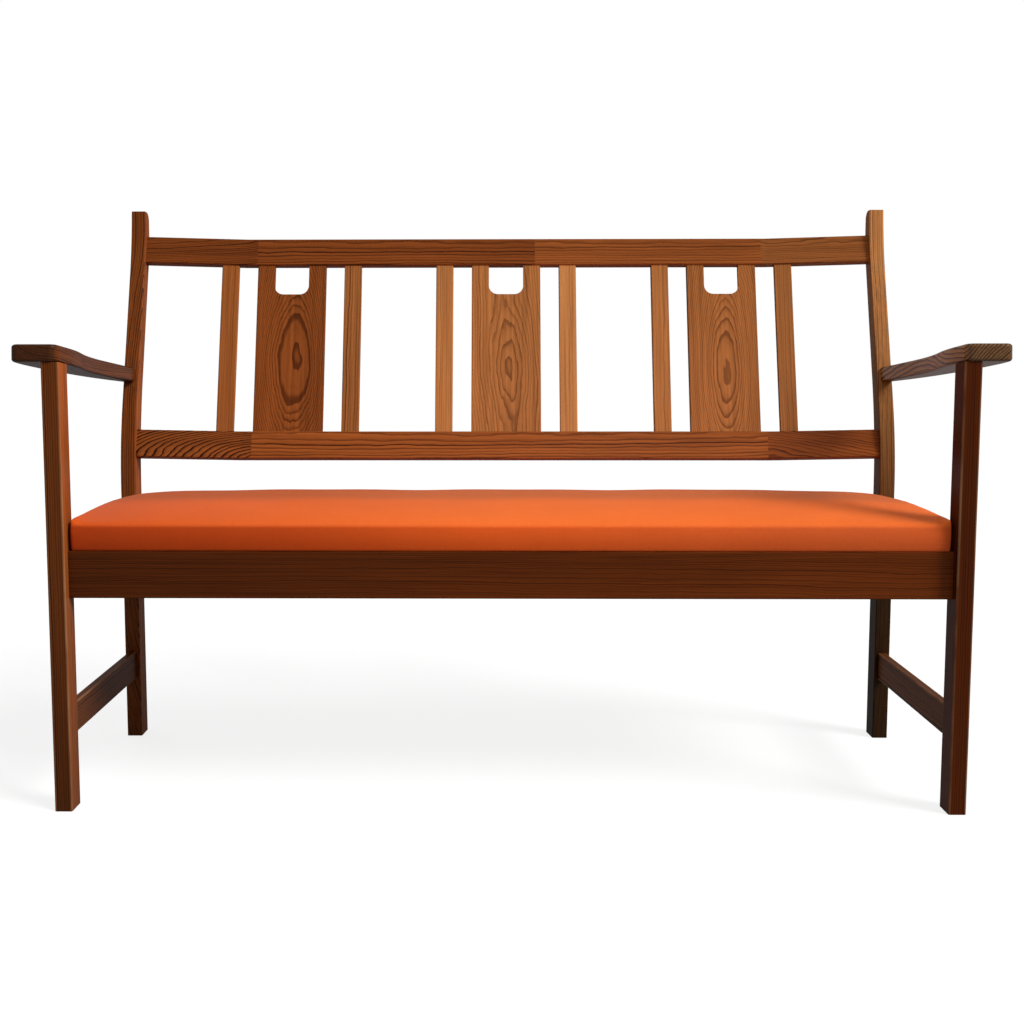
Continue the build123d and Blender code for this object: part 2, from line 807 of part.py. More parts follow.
def make_seat_cover():
    """The cover, drawn over the foam and turned under the board in a hem."""
    cover = pad_form(0, pad_bottom) - pad_form(cover_thickness, pad_bottom + cover_thickness)
    window = span(
        (cover_hem - pad_half, pad_half - cover_hem),
        (pad_front + cover_hem, pad_back - cover_hem),
        (pad_bottom - cover_thickness, pad_bottom + 2 * cover_thickness),
    )
    return cover - window


def build():
    """Every piece of the bench by the name of its node."""
    pieces = {}
    for name, right in (
        ("front_leg", make_front_leg()),
        ("back_post", make_back_post()),
        ("arm", make_arm()),
        ("side_seat_rail", make_side_rail()),
        ("side_stretcher", make_side_stretcher()),
        ("corner_block_front", make_corner_block(True)),
        ("corner_block_back", make_corner_block(False)),
    ):
        pieces[name + "_right"] = right
        pieces[name + "_left"] = mirrored(right)
    pieces["front_seat_rail"] = make_cross_rail(front_rail_face, front_rail_seat, -1)
    pieces["back_seat_rail"] = make_cross_rail(back_rail_face, back_rail_seat, 1)
    pieces["seat_bearer_left"] = make_bearer(-1)
    pieces["seat_bearer_right"] = make_bearer(1)
    for name, left, right, centre in (
        ("top_back_rail_left_end", "post", -rail_joint_at, rail_span),
        ("top_back_rail_left_middle", -rail_joint_at, top_rail_middle_joint_at, rail_span),
        ("top_back_rail_right_middle", top_rail_middle_joint_at, rail_joint_at, rail_span),
        ("top_back_rail_right_end", rail_joint_at, "post", rail_span),
        ("lower_back_rail_left_end", "post", -rail_joint_at, 0),
        ("lower_back_rail_middle", -rail_joint_at, rail_joint_at, 0),
        ("lower_back_rail_right_end", rail_joint_at, "post", 0),
    ):
        pieces[name] = make_back_rail_segment(left, right, centre)
    for name, x in zip(("left", "centre", "right"), splat_places):
        pieces["back_splat_" + name] = make_splat(x)
    for number, x in enumerate(slat_places, start=1):
        pieces[f"back_slat_{number}"] = make_slat(x)
    pieces["seat_board"] = make_seat_board()
    pieces["seat_foam"] = make_seat_foam()
    pieces["seat_cover"] = make_seat_cover()
    pieces["seat_board_screws"] = Compound(children=make_seat_screws())
    return pieces


os.makedirs("parts", exist_ok=True)
for node, piece in build().items():
    export_step(piece, f"parts/{node}.step")
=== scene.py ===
"""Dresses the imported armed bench: stained pine, the upholstered seat and a plain white studio."""
import math

import bpy
import numpy as np
from bpy.props import FloatProperty, FloatVectorProperty, IntProperty, PointerProperty
from mathutils import Matrix, Vector


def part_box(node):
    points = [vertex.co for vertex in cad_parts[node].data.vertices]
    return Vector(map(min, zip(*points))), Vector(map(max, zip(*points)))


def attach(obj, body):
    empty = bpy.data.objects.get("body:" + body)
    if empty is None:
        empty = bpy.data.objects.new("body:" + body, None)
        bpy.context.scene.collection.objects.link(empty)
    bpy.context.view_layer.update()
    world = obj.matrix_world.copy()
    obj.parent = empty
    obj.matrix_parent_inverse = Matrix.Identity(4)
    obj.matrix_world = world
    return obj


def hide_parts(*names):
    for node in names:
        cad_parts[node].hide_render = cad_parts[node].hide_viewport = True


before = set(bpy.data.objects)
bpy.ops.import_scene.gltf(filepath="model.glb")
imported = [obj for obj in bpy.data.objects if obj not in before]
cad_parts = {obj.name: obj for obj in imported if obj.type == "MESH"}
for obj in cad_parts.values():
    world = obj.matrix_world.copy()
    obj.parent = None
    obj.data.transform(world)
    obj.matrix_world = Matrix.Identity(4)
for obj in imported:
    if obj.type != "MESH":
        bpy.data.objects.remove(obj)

bl_info = {
    "name": "Slatted bench workshop",
    "version": (1, 0, 0),
    "blender": (4, 5, 0),
    "location": "3D View > Sidebar > Bench",
    "description": "Stains the boards, pads the seat and sets the studio of an armed bench",
    "category": "Object",
}

SEAT_LOW, SEAT_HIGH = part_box("seat_cover")

# Directions in the bench, along and across its boards. The rails' ends turn by an angle in radians
BACK_LEAN = math.radians(17.5)
ARM_FALL = math.radians(4.7)
RAIL_TURN = 0.0754
UP = (0.0, 0.0, 1.0)
RIGHT = (1.0, 0.0, 0.0)
BACKWARD = (0.0, 1.0, 0.0)
LEAN = (0.0, math.sin(BACK_LEAN), math.cos(BACK_LEAN))
DOWN_ARM = (0.0, math.cos(ARM_FALL), -math.sin(ARM_FALL))
POST_LINE = (0.0, 0.16, 0.987)
LEFT_END = (math.cos(RAIL_TURN), math.sin(RAIL_TURN), 0.0)
RIGHT_END = (math.cos(RAIL_TURN), -math.sin(RAIL_TURN), 0.0)

# Pine: how much of each noise a metre holds, along, across and through the board
SLOW_WANDER = (2.6, 16.0, 16.0)
RIPPLE = (14.0, 45.0, 45.0)
FRAY = (38.0, 420.0, 420.0)
FIBRE = (24.0, 1100.0, 1100.0)
STREAK = (4.0, 190.0, 190.0)
BROAD = (1.6, 9.0, 9.0)
PATCHES = (14.0, 30.0, 30.0)

# Pine: how much each noise counts, and the least values of a growth and of the painted shade along
# a board
RIPPLE_SHARE = 0.55
FRAY_DEPTH = 0.0005
UNEVEN_PACE = 0.55
FIBRE_SHARE = 0.7
STREAK_SHARE = 1.1
BROAD_SHARE = 0.6
LEAST_GROWTH = 0.002
DARKEST_SHADE_ALONG = 0.2

# Pine: darkness of a ring through its season, its strongest line, and what a quiet ring loses
LATE_WOOD = ((0.0, 0.0), (0.35, 0.04), (0.65, 0.35), (0.8, 0.95), (0.95, 1.0), (1.0, 0.1))
BOLD_WOOD = ((0.0, 0.0), (0.25, 0.2), (0.5, 0.85), (0.7, 1.0), (0.96, 0.95), (1.0, 0.1))
STRONGEST_LINE = 1.05
QUIETING = -0.85
SAME_YEAR = 0.5

# Pine: how squarely a side face looks sideways, and how far from a face the painted arris highlight
# reaches
SIDE_FACING = (0.6, 0.95)
ARRIS_DEPTHS = (-0.0036, -0.001)
# Painted arris highlight: how much of it shows, how patchy it is, how pale it is, and its colour
HIGHLIGHT_LEAST, HIGHLIGHT_PATCHES, HIGHLIGHT_PALENESS = 0.45, 1.4, 0.45
ARRIS_HIGHLIGHT_COLOUR = (0.74, 0.41, 0.21, 1.0)
NO_ARRIS = 9.0
NO_RING = -1000.0

# Seat: lattice, borders and crown, in metres, shares and powers. Powers are given at mid length
# and at the ends, and a wave as its height, its radians per metre along and across, and its start
CELLS_UP = 6
EDGE_CROWDING = 1.335
LEVEL_CROWDING = 0.6
SIDE_ROOM = 0.0006
BORDER_BOW = 0.0008
LONG_BORDER_BOW = 0.003
FRONT_POWERS = (3.9, 2.0)
BACK_POWERS = (4.6, 1.7)
EAR_POWER = 60
WAVES = ((0.0006, 19, 6, 0.6), (0.0004, 37, -14, 0.0))

# Seat: the cover before filling, its hem under the board, and how far it may pass its box
STITCH_INSET = 0.0008
HEM = 0.015
BOARD_SINK = 0.004
ROOM_OUTWARDS = np.array([0.001, 0.003, 0.0])
ROOM_UPWARDS = np.array([0.0, 0.0, 0.006])
CLOTH_STEPS = 20

# Seat: painted shade along the bench, above and below the crease, and the painted shade of its back
# strip
TOP_SHADE = ((0.0, (0.76, 0.57, 0.38)), (0.25, (0.91, 0.8, 0.67)), (0.5, (1.0, 1.0, 1.0)))
BORDER_SHADE = ((0.0, (0.5, 0.28, 0.13)), (0.25, (0.63, 0.39, 0.23)), (0.5, (0.87, 0.63, 0.48)),
               (0.9, (0.8, 0.69, 0.85)))
CREASE_BAND = (-0.003, 0.002)
BACK_SHADE_STRIP = (-0.16, -0.04)
BACK_SHADE_SHARE = 0.75

# Studio: how widely each sun spreads, in degrees, and the way it shines
KEY_SPREAD, KEY_WAY = 24, (-0.65, 0.42, -0.63)
FILL_SPREAD, FILL_WAY = 50, (0.45, -0.65, -0.6)
FRONT_SIZE, FRONT_PLACE, FRONT_AIM = (1.0, 0.5), (0.4, -1.3, 1.5), (0.1, 0.0, 0.5)
FLOOR_REACH = 14.0
WHITE = (1.0, 1.0, 1.0, 1.0)


def shade(red, green, blue):
    """A colour as seen on a screen, 0 to 255, turned into the linear light that shaders work in."""
    seen = np.array([red, green, blue], float) / 255
    linear = np.where(seen <= 0.04045, seen / 12.92, ((seen + 0.055) / 1.055) ** 2.4)
    return tuple(float(x) for x in linear) + (1.0,)


class BenchPine(bpy.types.PropertyGroup):
    """The stained pine of the frame and back."""

    early_colour: FloatVectorProperty(
        name="Early wood", description="Colour of the soft part of a ring", subtype="COLOR",
        size=4, min=0.0, max=1.0, default=shade(184, 112, 58))
    late_colour: FloatVectorProperty(
        name="Late wood", description="Colour of the dark line that ends a ring", subtype="COLOR",
        size=4, min=0.0, max=1.0, default=shade(66, 26, 9))
    line_strength: FloatProperty(
        name="Line strength", description="How strongly the dark lines show", subtype="FACTOR",
        default=0.95, min=0.0, max=1.0)
    fibre_strength: FloatProperty(
        name="Fibre strength", description="How strongly the fine fibres show", subtype="FACTOR",
        default=0.6, min=0.0, max=1.0)
    polish: FloatProperty(
        name="Sheen of the finish", description="Share of the surface that the wax closes",
        subtype="FACTOR", default=0.09, min=0.0, max=1.0)
    relief: FloatProperty(
        name="Relief of the rings", description="Depth to which the soft wood has worn",
        subtype="DISTANCE", unit="LENGTH", default=0.00025, min=0.0, max=0.002)


class BenchSeat(bpy.types.PropertyGroup):
    """The padded seat and its woven cover."""

    border_height: FloatProperty(
        name="Border height", description="Upright border below the front crease",
        subtype="DISTANCE", unit="LENGTH", default=0.039, min=0.01, max=0.1)
    crown_rise: FloatProperty(
        name="Crown rise", description="Rise of the crown above the border at mid length",
        subtype="DISTANCE", unit="LENGTH", default=0.0235, min=0.0, max=0.08)
    end_share: FloatProperty(
        name="Crown at the ends", description="Share of the crown that is left at the two ends",
        subtype="FACTOR", default=0.6, min=0.0, max=1.0)
    fall_power: FloatProperty(
        name="Fall power", description="How late the crown falls towards the ends",
        default=8.0, min=1.0, max=12.0)
    ear_rise: FloatProperty(
        name="Ear rise", description="How far the two front corners stand up",
        subtype="DISTANCE", unit="LENGTH", default=0.0098, min=0.0, max=0.03)
    corner_radius: FloatProperty(
        name="Corner radius", description="Rounding of the four upright corners",
        subtype="DISTANCE", unit="LENGTH", default=0.003, min=0.0, max=0.05)
    air_pressure: FloatProperty(
        name="Fill pressure", description="Pressure that fills the cover",
        default=0.5, min=0.0, max=20.0)
    swell_limit: FloatProperty(
        name="Swell limit", description="Most that the cover may leave its cut form",
        subtype="DISTANCE", unit="LENGTH", default=0.003, min=0.0, max=0.03)
    cells_along: IntProperty(
        name="Cells along", description="Lattice cells along the seat",
        default=150, min=20, max=400)
    cells_across: IntProperty(
        name="Cells across", description="Lattice cells from front to back",
        default=56, min=10, max=200)
    cover_colour: FloatVectorProperty(
        name="Cover", description="Colour of the woven cover", subtype="COLOR",
        size=4, min=0.0, max=1.0, default=shade(255, 124, 50))
    shadow_colour: FloatVectorProperty(
        name="Between the threads", description="Colour between the threads", subtype="COLOR",
        size=4, min=0.0, max=1.0, default=shade(232, 92, 28))
    # Painted shade: the darker colour of the strip along the back.
    back_shade_colour: FloatVectorProperty(
        name="Back strip", description="Duller colour of the strip along the back",
        subtype="COLOR", size=4, min=0.0, max=1.0, default=shade(197, 101, 53))
    thread_pitch: FloatProperty(
        name="Thread pitch", description="Distance from one thread to the next",
        subtype="DISTANCE", unit="LENGTH", default=0.0011, min=0.0003, max=0.01)


class BenchStudio(bpy.types.PropertyGroup):
    """Camera, lamps, floor and background."""

    eye: FloatVectorProperty(
        name="Camera place", description="Where the camera stands", subtype="TRANSLATION",
        unit="LENGTH", size=3, default=(-0.02455, -2.42528, 0.70220))
    turn: FloatProperty(
        name="Camera turn", description="Turn of the camera about the upright",
        subtype="ANGLE", unit="ROTATION", default=-0.0145)
    dip: FloatProperty(
        name="Camera dip", description="How far the camera looks down",
        subtype="ANGLE", unit="ROTATION", default=0.1087)
    roll: FloatProperty(
        name="Camera roll", description="Roll of the camera about its own line of sight",
        subtype="ANGLE", unit="ROTATION", default=-0.0008)
    lens: FloatProperty(
        name="Lens", description="Focal length on a 36 mm sensor, in millimetres",
        default=50.053, min=10.0, max=300.0)
    shift: FloatVectorProperty(
        name="Lens shift", description="Share of the frame that the lens is shifted by",
        size=2, default=(0.03886, -0.00285))
    surround: FloatProperty(
        name="Surround light", description="Strength of the even light all round",
        default=0.2, min=0.0, max=2.0)
    key: FloatProperty(
        name="Key light", description="Strength of the soft light from the front, above and right",
        default=2.6, min=0.0, max=20.0)
    fill: FloatProperty(
        name="Fill light", description="Strength of the soft light from behind, above and left",
        default=0.5, min=0.0, max=20.0)
    front: FloatProperty(
        name="Front light", description="Power of the large lamp in front, in watts",
        default=4.0, min=0.0, max=2000.0)
    floor_colour: FloatVectorProperty(
        name="Floor", description="Colour of the studio floor", subtype="COLOR",
        size=4, min=0.0, max=1.0, default=(0.26, 0.26, 0.26, 1.0))
    floor_lift: FloatProperty(
        name="Floor lift", description="White added to the floor where the camera sees it",
        default=0.82, min=0.0, max=1.0)


def put(tree, kind, sockets=None, **settings):
    """Adds one shader node, and sets or links its input sockets by name or number."""
    made = tree.nodes.new(kind)
    for word, value in settings.items():
        setattr(made, word, value)
    for key, value in (sockets or {}).items():
        if isinstance(value, bpy.types.NodeSocket):
            tree.links.new(value, made.inputs[key])
        else:
            made.inputs[key].default_value = value
    return made


def calc(tree, operation, a, b=0.0, c=0.0):
    """The answer of one sum on numbers."""
    return put(tree, "ShaderNodeMath", {0: a, 1: b, 2: c}, operation=operation).outputs[0]


def plus(tree, a, b):
    """a plus b."""
    return calc(tree, "ADD", a, b)


def minus(tree, a, b):
    """a less b."""
    return calc(tree, "SUBTRACT", a, b)


def times(tree, a, b):
    """a times b."""
    return calc(tree, "MULTIPLY", a, b)


def swayed(tree, base, by, share):
    """A base plus a share of something else."""
    return calc(tree, "MULTIPLY_ADD", by, share, base)


def rise(tree, value, start, end, low=0.0, high=1.0, **settings):
    """Goes from low to high while the value goes from start to end."""
    sockets = {0: value, 1: start, 2: end, 3: low, 4: high}
    return put(tree, "ShaderNodeMapRange", sockets, **settings).outputs[0]


def cloud(tree, point, stretch, detail=1.0, roughness=0.5):
    """Soft noise between -0.5 and 0.5, at a point stretched by its own amount on each axis."""
    sockets = {0: point, 1: stretch}
    stretched = put(tree, "ShaderNodeVectorMath", sockets, operation="MULTIPLY").outputs[0]
    sockets = {"Vector": stretched, "Scale": 1.0, "Detail": detail, "Roughness": roughness}
    return minus(tree, put(tree, "ShaderNodeTexNoise", sockets).outputs["Fac"], 0.5)


def blend_colours(tree, share, first, second, way="MIX"):
    """Two colours mixed by a share."""
    sockets = {0: share, 6: first, 7: second}
    return put(tree, "ShaderNodeMix", sockets, data_type="RGBA", blend_type=way).outputs[2]


def darkened(tree, colour, grey):
    """A colour multiplied by a grey, which may be over 1."""
    tint = put(tree, "ShaderNodeCombineColor", {0: grey, 1: grey, 2: grey}).outputs[0]
    return blend_colours(tree, 1.0, colour, tint, way="MULTIPLY")


def colour_run(tree, share, stops):
    """A colour read off a run of colours, given as (place, colour) pairs from 0 to 1."""
    made = put(tree, "ShaderNodeValToRGB", {"Fac": share})
    ramp = made.color_ramp
    ramp.elements[0].position, ramp.elements[1].position = stops[0][0], stops[-1][0]
    for place, _ in stops[1:-1]:
        ramp.elements.new(place)
    for element, (_, colour) in zip(ramp.elements, stops):
        element.color = (*colour, 1.0)
    return made.outputs["Color"]


def curve_of(tree, share, stops):
    """A number read off a curve of straight runs, given as (place, value) pairs from 0 to 1."""
    colour = colour_run(tree, share, [(place, (value,) * 3) for place, value in stops])
    return put(tree, "ShaderNodeSeparateColor", {"Color": colour}).outputs[0]


def blank_material(name):
    """A new material without nodes, and its node tree."""
    material = bpy.data.materials.new(name)
    material.use_nodes = True
    material.node_tree.nodes.clear()
    return material, material.node_tree


def surface(tree, sockets, bump=None):
    """Ends a material in one principled shader, with a bump of (height, strength, depth)."""
    if bump:
        bump = dict(zip(("Height", "Strength", "Distance"), bump))
        sockets["Normal"] = put(tree, "ShaderNodeBump", bump).outputs[0]
    shader = put(tree, "ShaderNodeBsdfPrincipled", sockets)
    put(tree, "ShaderNodeOutputMaterial", {"Surface": shader.outputs[0]})


PINE_INPUTS = (
    "Point", "Pith across", "Pith below", "Pith lean", "Swell", "Swell limit", "Dive",
    "Swell place", "Ring spacing", "Ring growth", "Unevenness", "Quiet ring", "Bold ring",
    "Wander", "Lines", "Mood", "Fibres", "Fade", "Crowding", "Side face", "Side tone",
    "Half width", "Half thickness", "Early colour", "Late colour")
PINE_OUTPUTS = ("Colour", "Roughness", "Height")
SOCKET_KINDS = {"Point": "NodeSocketVector", "Early colour": "NodeSocketColor",
                "Late colour": "NodeSocketColor", "Colour": "NodeSocketColor"}


def slow_drift(tree, point):
    """Slow wandering of the rings with a finer ripple on it."""
    ripple = cloud(tree, point, RIPPLE, detail=2.0)
    return swayed(tree, cloud(tree, point, SLOW_WANDER), ripple, RIPPLE_SHARE)


def ring_reach(group, given, parts):
    """Distance from the pith.

    The pith lies a given distance across and below the board's middle. It leans across and dives
    under the face by shares of the distance along, and swells away from it with the square of the
    distance from one place up to a limit, which draws ovals on a flat-sawn face. Slow noise, less
    its own value at the middle of the ovals, makes the rings wander, and noise drawn out along
    the grain frays them.
    """
    centre = put(group, "ShaderNodeCombineXYZ",
                 {0: given["Swell place"], 1: given["Pith across"]}).outputs[0]
    wander = minus(group, slow_drift(group, given["Point"]), slow_drift(group, centre))
    off = minus(group, parts[0], given["Swell place"])
    across = minus(group, minus(group, parts[1], given["Pith across"]),
                   times(group, given["Pith lean"], off))
    limit = given["Swell limit"]
    swell = times(group, given["Swell"], times(group, off, off))
    held = calc(group, "EXPONENT", times(group, calc(group, "DIVIDE", swell, limit), -1.0))
    bow = times(group, limit, minus(group, 1.0, held))
    bow = swayed(group, bow, parts[0], given["Dive"])
    below = plus(group, plus(group, parts[2], given["Pith below"]), bow)
    squares = plus(group, times(group, across, across), times(group, below, below))
    reach = swayed(group, calc(group, "SQRT", squares), wander, given["Wander"])
    return swayed(group, reach, cloud(group, given["Point"], FRAY), FRAY_DEPTH)


def ring_number(group, given, reach):
    """Ring number, counted from the board's middle over the ring spacing.

    Rings may widen as they go out, by the natural logarithm, the rings past the counted distance
    may crowd, and slow noise makes their widths uneven.
    """
    past = calc(group, "DIVIDE", minus(group, reach, given["Pith below"]), given["Ring spacing"])
    growth = calc(group, "MAXIMUM", given["Ring growth"], LEAST_GROWTH)
    grown = swayed(group, 1.0, calc(group, "ABSOLUTE", past), growth)
    count = calc(group, "DIVIDE", calc(group, "LOGARITHM", grown, math.e), growth)
    count = times(group, calc(group, "SIGN", past), count)
    outer = calc(group, "MAXIMUM", count, 0.0)
    count = swayed(group, count, outer, minus(group, given["Crowding"], 1.0))
    sockets = {"W": times(group, count, UNEVEN_PACE), "Scale": 1.0, "Detail": 1.0}
    uneven = put(group, "ShaderNodeTexNoise", sockets, noise_dimensions="1D").outputs["Fac"]
    return swayed(group, count, uneven, given["Unevenness"])


def ring_line(group, given, count):
    """The dark line that ends each ring: strong or weak by its year, one quiet and one bold."""
    year = calc(group, "FLOOR", count)
    season = calc(group, "FRACT", count)
    mood = put(group, "ShaderNodeTexWhiteNoise", {"W": year}, noise_dimensions="1D")
    mood = times(group, mood.outputs["Value"], given["Mood"])
    quiet = calc(group, "COMPARE", year, given["Quiet ring"], SAME_YEAR)
    mood = times(group, minus(group, STRONGEST_LINE, mood), swayed(group, 1.0, quiet, QUIETING))
    line = times(group, curve_of(group, season, LATE_WOOD), mood)
    bold = calc(group, "COMPARE", year, given["Bold ring"], SAME_YEAR)
    bold = times(group, bold, curve_of(group, season, BOLD_WOOD))
    return times(group, calc(group, "MAXIMUM", line, bold), given["Lines"])


def board_grey(group, given, parts, fibre, streak):
    """Light and dark of fibres, streaks and broad patches, and painted shade that darkens the board
    towards one end.

    Side faces get painted light or shade of their own, lighter on some boards and darker on others.
    """
    grey = swayed(group, 1.0, fibre, times(group, given["Fibres"], FIBRE_SHARE))
    grey = swayed(group, grey, streak, STREAK_SHARE)
    grey = swayed(group, grey, cloud(group, given["Point"], BROAD), BROAD_SHARE)
    # Painted shade: darker towards one end of the board.
    shaded_along = calc(group, "MAXIMUM", swayed(group, 1.0, parts[0], given["Fade"]), DARKEST_SHADE_ALONG)
    # Painted light or shade on the side faces.
    side = rise(group, given["Side face"], *SIDE_FACING, 1.0, given["Side tone"])
    return times(group, times(group, grey, shaded_along), side)


def near_face(group, place, half):
    """Rises to 1 towards the faces that lie a half size either side of the middle."""
    return rise(group, minus(group, calc(group, "ABSOLUTE", place), half), *ARRIS_DEPTHS)


def painted_arris_highlight(group, given, parts, colour):
    """The colour with a painted highlight along the arrises, in patches."""
    highlight = times(group, near_face(group, parts[1], given["Half width"]),
                near_face(group, parts[2], given["Half thickness"]))
    patches = cloud(group, given["Point"], PATCHES, detail=2.0)
    highlight = times(group, highlight, swayed(group, HIGHLIGHT_LEAST, patches, HIGHLIGHT_PATCHES))
    pale = blend_colours(group, HIGHLIGHT_PALENESS, given["Early colour"], ARRIS_HIGHLIGHT_COLOUR)
    return blend_colours(group, calc(group, "MAXIMUM", highlight, 0.0), colour, pale)


def pine_group():
    """Growth rings of a pine board, worked out in its own frame: along, across and through."""
    group = bpy.data.node_groups.new("Stained pine", "ShaderNodeTree")
    for way, names in (("INPUT", PINE_INPUTS), ("OUTPUT", PINE_OUTPUTS)):
        for name in names:
            kind = SOCKET_KINDS.get(name, "NodeSocketFloat")
            group.interface.new_socket(name, in_out=way, socket_type=kind)
    given = group.nodes.new("NodeGroupInput").outputs
    parts = put(group, "ShaderNodeSeparateXYZ", {0: given["Point"]}).outputs
    line = ring_line(group, given, ring_number(group, given, ring_reach(group, given, parts)))
    fibre = cloud(group, given["Point"], FIBRE, detail=2.0, roughness=0.6)
    streak = cloud(group, given["Point"], STREAK, detail=3.0, roughness=0.6)
    colour = blend_colours(group, line, given["Early colour"], given["Late colour"])
    # The grain's tone, with painted shade along the board and painted light or shade on its side
    # faces.
    colour = darkened(group, colour, board_grey(group, given, parts, fibre, streak))
    # Painted highlight along the arrises.
    colour = painted_arris_highlight(group, given, parts, colour)
    rough = swayed(group, swayed(group, 0.36, fibre, 0.2), line, -0.08)
    height = swayed(group, swayed(group, line, fibre, 0.35), streak, 0.3)
    put(group, "NodeGroupOutput", {"Colour": colour, "Roughness": rough, "Height": height})
    return group


def board_turn(along, across):
    """The turn that carries along, across and through onto a board's axes in the bench."""
    first = Vector(along).normalized()
    third = first.cross(Vector(across)).normalized()
    second = third.cross(first)
    return Matrix((first, second, third)).transposed().to_euler()


def dress(node, material):
    """Gives one CAD node a material in every slot of its mesh."""
    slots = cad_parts[node].data.materials
    slots.clear()
    slots.append(material)


def stain(node, along, across, pith, tone=1.0, warmth=1.0, edges=True, gloss=1.0, shift=0.0,
          place=0.0, **rings):
    """Stains one board, in the frame of its own length, width and thickness.

    pith is its place across and below the middle, place is where its swell is least, and shift
    moves the board along its pattern. tone and warmth turn the two pine colours, gloss multiplies
    the sheen of the finish, edges paints a highlight along the arrises, and rings are the group's
    other inputs, among them painted shade along the board and painted light or shade on its sides.
    """
    pine = bpy.context.scene.bench_pine
    turn = board_turn(along, across)
    axes = np.array(turn.to_matrix())
    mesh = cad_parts[node].data
    corners = np.zeros(len(mesh.vertices) * 3)
    mesh.vertices.foreach_get("co", corners)
    corners = corners.reshape(-1, 3) @ axes
    low, high = corners.min(axis=0), corners.max(axis=0)
    middle = axes @ ((low + high) / 2 - np.array((shift, 0.0, 0.0)))
    # Boards without edges get no painted arris highlight.
    half = (high - low) / 2 if edges else np.full(3, NO_ARRIS)
    early, late = (
        [min(1.0, part * tone * warmth ** power) for power, part in enumerate(colour[:3])] + [1.0]
        for colour in (pine.early_colour, pine.late_colour))
    settings = {
        "Pith across": pith[0], "Pith below": pith[1], "Pith lean": 0.0, "Swell": 0.0,
        "Swell limit": 0.02, "Dive": 0.0, "Swell place": place + shift, "Ring spacing": 0.0033,
        "Ring growth": 0.0, "Unevenness": 0.7, "Quiet ring": NO_RING, "Bold ring": NO_RING,
        "Wander": 0.006, "Mood": 0.8, "Fibres": pine.fibre_strength, "Fade": 0.0,
        "Crowding": 1.0, "Side tone": 1.0, "Half width": half[1], "Half thickness": half[2],
        "Early colour": early, "Late colour": late}
    settings.update({word.replace("_", " ").capitalize(): rings[word] for word in rings})
    settings["Lines"] = pine.line_strength * settings.get("Lines", 1.0)

    material, tree = blank_material(f"Stained pine {node}")
    seen = put(tree, "ShaderNodeTexCoord").outputs
    sockets = {"Vector": seen["Object"], "Location": middle, "Rotation": turn}
    point = put(tree, "ShaderNodeMapping", sockets, vector_type="TEXTURE").outputs[0]
    sockets = {0: seen["Normal"], 1: axes[:, 1]}
    facing = put(tree, "ShaderNodeVectorMath", sockets, operation="DOT_PRODUCT").outputs["Value"]
    group = bpy.data.node_groups.get("Stained pine") or pine_group()
    made = put(tree, "ShaderNodeGroup", node_tree=group)
    tree.links.new(point, made.inputs["Point"])
    tree.links.new(calc(tree, "ABSOLUTE", facing), made.inputs["Side face"])
    for name, value in settings.items():
        made.inputs[name].default_value = value
    surface(tree, {
        "Base Color": made.outputs["Colour"], "Roughness": made.outputs["Roughness"],
        "Specular IOR Level": 0.0, "Coat Weight": pine.polish * gloss, "Coat Roughness": 0.32},
        bump=(made.outputs["Height"], 0.6, pine.relief))
    dress(node, material)


class BENCH_OT_stain_frame(bpy.types.Operator):
    """Stains the legs, posts, arms, seat rails and stretchers"""

    bl_idname = "bench.stain_frame"
    bl_label = "Stain the frame"

    def execute(self, context):
        # Painted light and shade: the side faces are lighter on the left front leg, the left back
        # post and the arms, and darker on the right back post. The left front leg, the right back
        # post and the front rail darken towards their foot or left end.
        stain("front_leg_left", UP, RIGHT, (0.052, 0.018), ring_spacing=0.0034,
              tone=0.28, warmth=0.75, side_tone=2.5, fade=1.1)
        stain("front_leg_right", UP, RIGHT, (-0.06, 0.03), ring_spacing=0.0036,
              tone=0.18, warmth=0.54, shift=0.3)
        stain("back_post_left", POST_LINE, RIGHT, (0.045, 0.05), ring_spacing=0.0036,
              tone=0.45, warmth=0.76, side_tone=1.7, edges=False)
        # Painted shade: the right back post darkens towards its foot, below the arm and the seat.
        stain("back_post_right", POST_LINE, RIGHT, (-0.07, 0.02), ring_spacing=0.0036, lines=0.8,
              tone=0.45, warmth=1.2, side_tone=0.5, fade=4.3, edges=False)
        stain("arm_left", DOWN_ARM, RIGHT, (0.03, 0.07), swell=0.2, ring_spacing=0.0036,
              tone=0.13, warmth=0.82, side_tone=2.6, gloss=1.9, edges=False)
        stain("arm_right", DOWN_ARM, RIGHT, (0.1, -0.075), swell=-0.15, ring_spacing=0.0038,
              lines=1.2, mood=0.3, tone=0.36, warmth=1.4, side_tone=1.9, gloss=2.8, edges=False)
        # Painted shade: the front rail darkens towards its left end.
        stain("front_seat_rail", RIGHT, UP, (-0.06, 0.022), swell=0.012, place=-0.3,
              ring_spacing=0.0029, wander=0.009, lines=0.7, tone=0.265, warmth=0.61, fade=0.45,
              edges=False)
        stain("back_seat_rail", RIGHT, UP, (0.04, 0.05), swell=0.03, ring_spacing=0.0036,
              tone=0.3, warmth=0.8, shift=0.2)
        for node, pith, spacing, tone, warmth in (
                ("side_seat_rail_left", (0.03, 0.06), 0.0036, 0.36, 0.8),
                ("side_seat_rail_right", (-0.04, 0.05), 0.0032, 0.36, 0.8),
                ("side_stretcher_left", (0.04, 0.03), 0.0034, 0.3, 0.75),
                ("side_stretcher_right", (-0.03, 0.04), 0.0036, 0.32, 0.85)):
            stain(node, BACKWARD, UP, pith, ring_spacing=spacing, tone=tone, warmth=warmth)
        return {"FINISHED"}


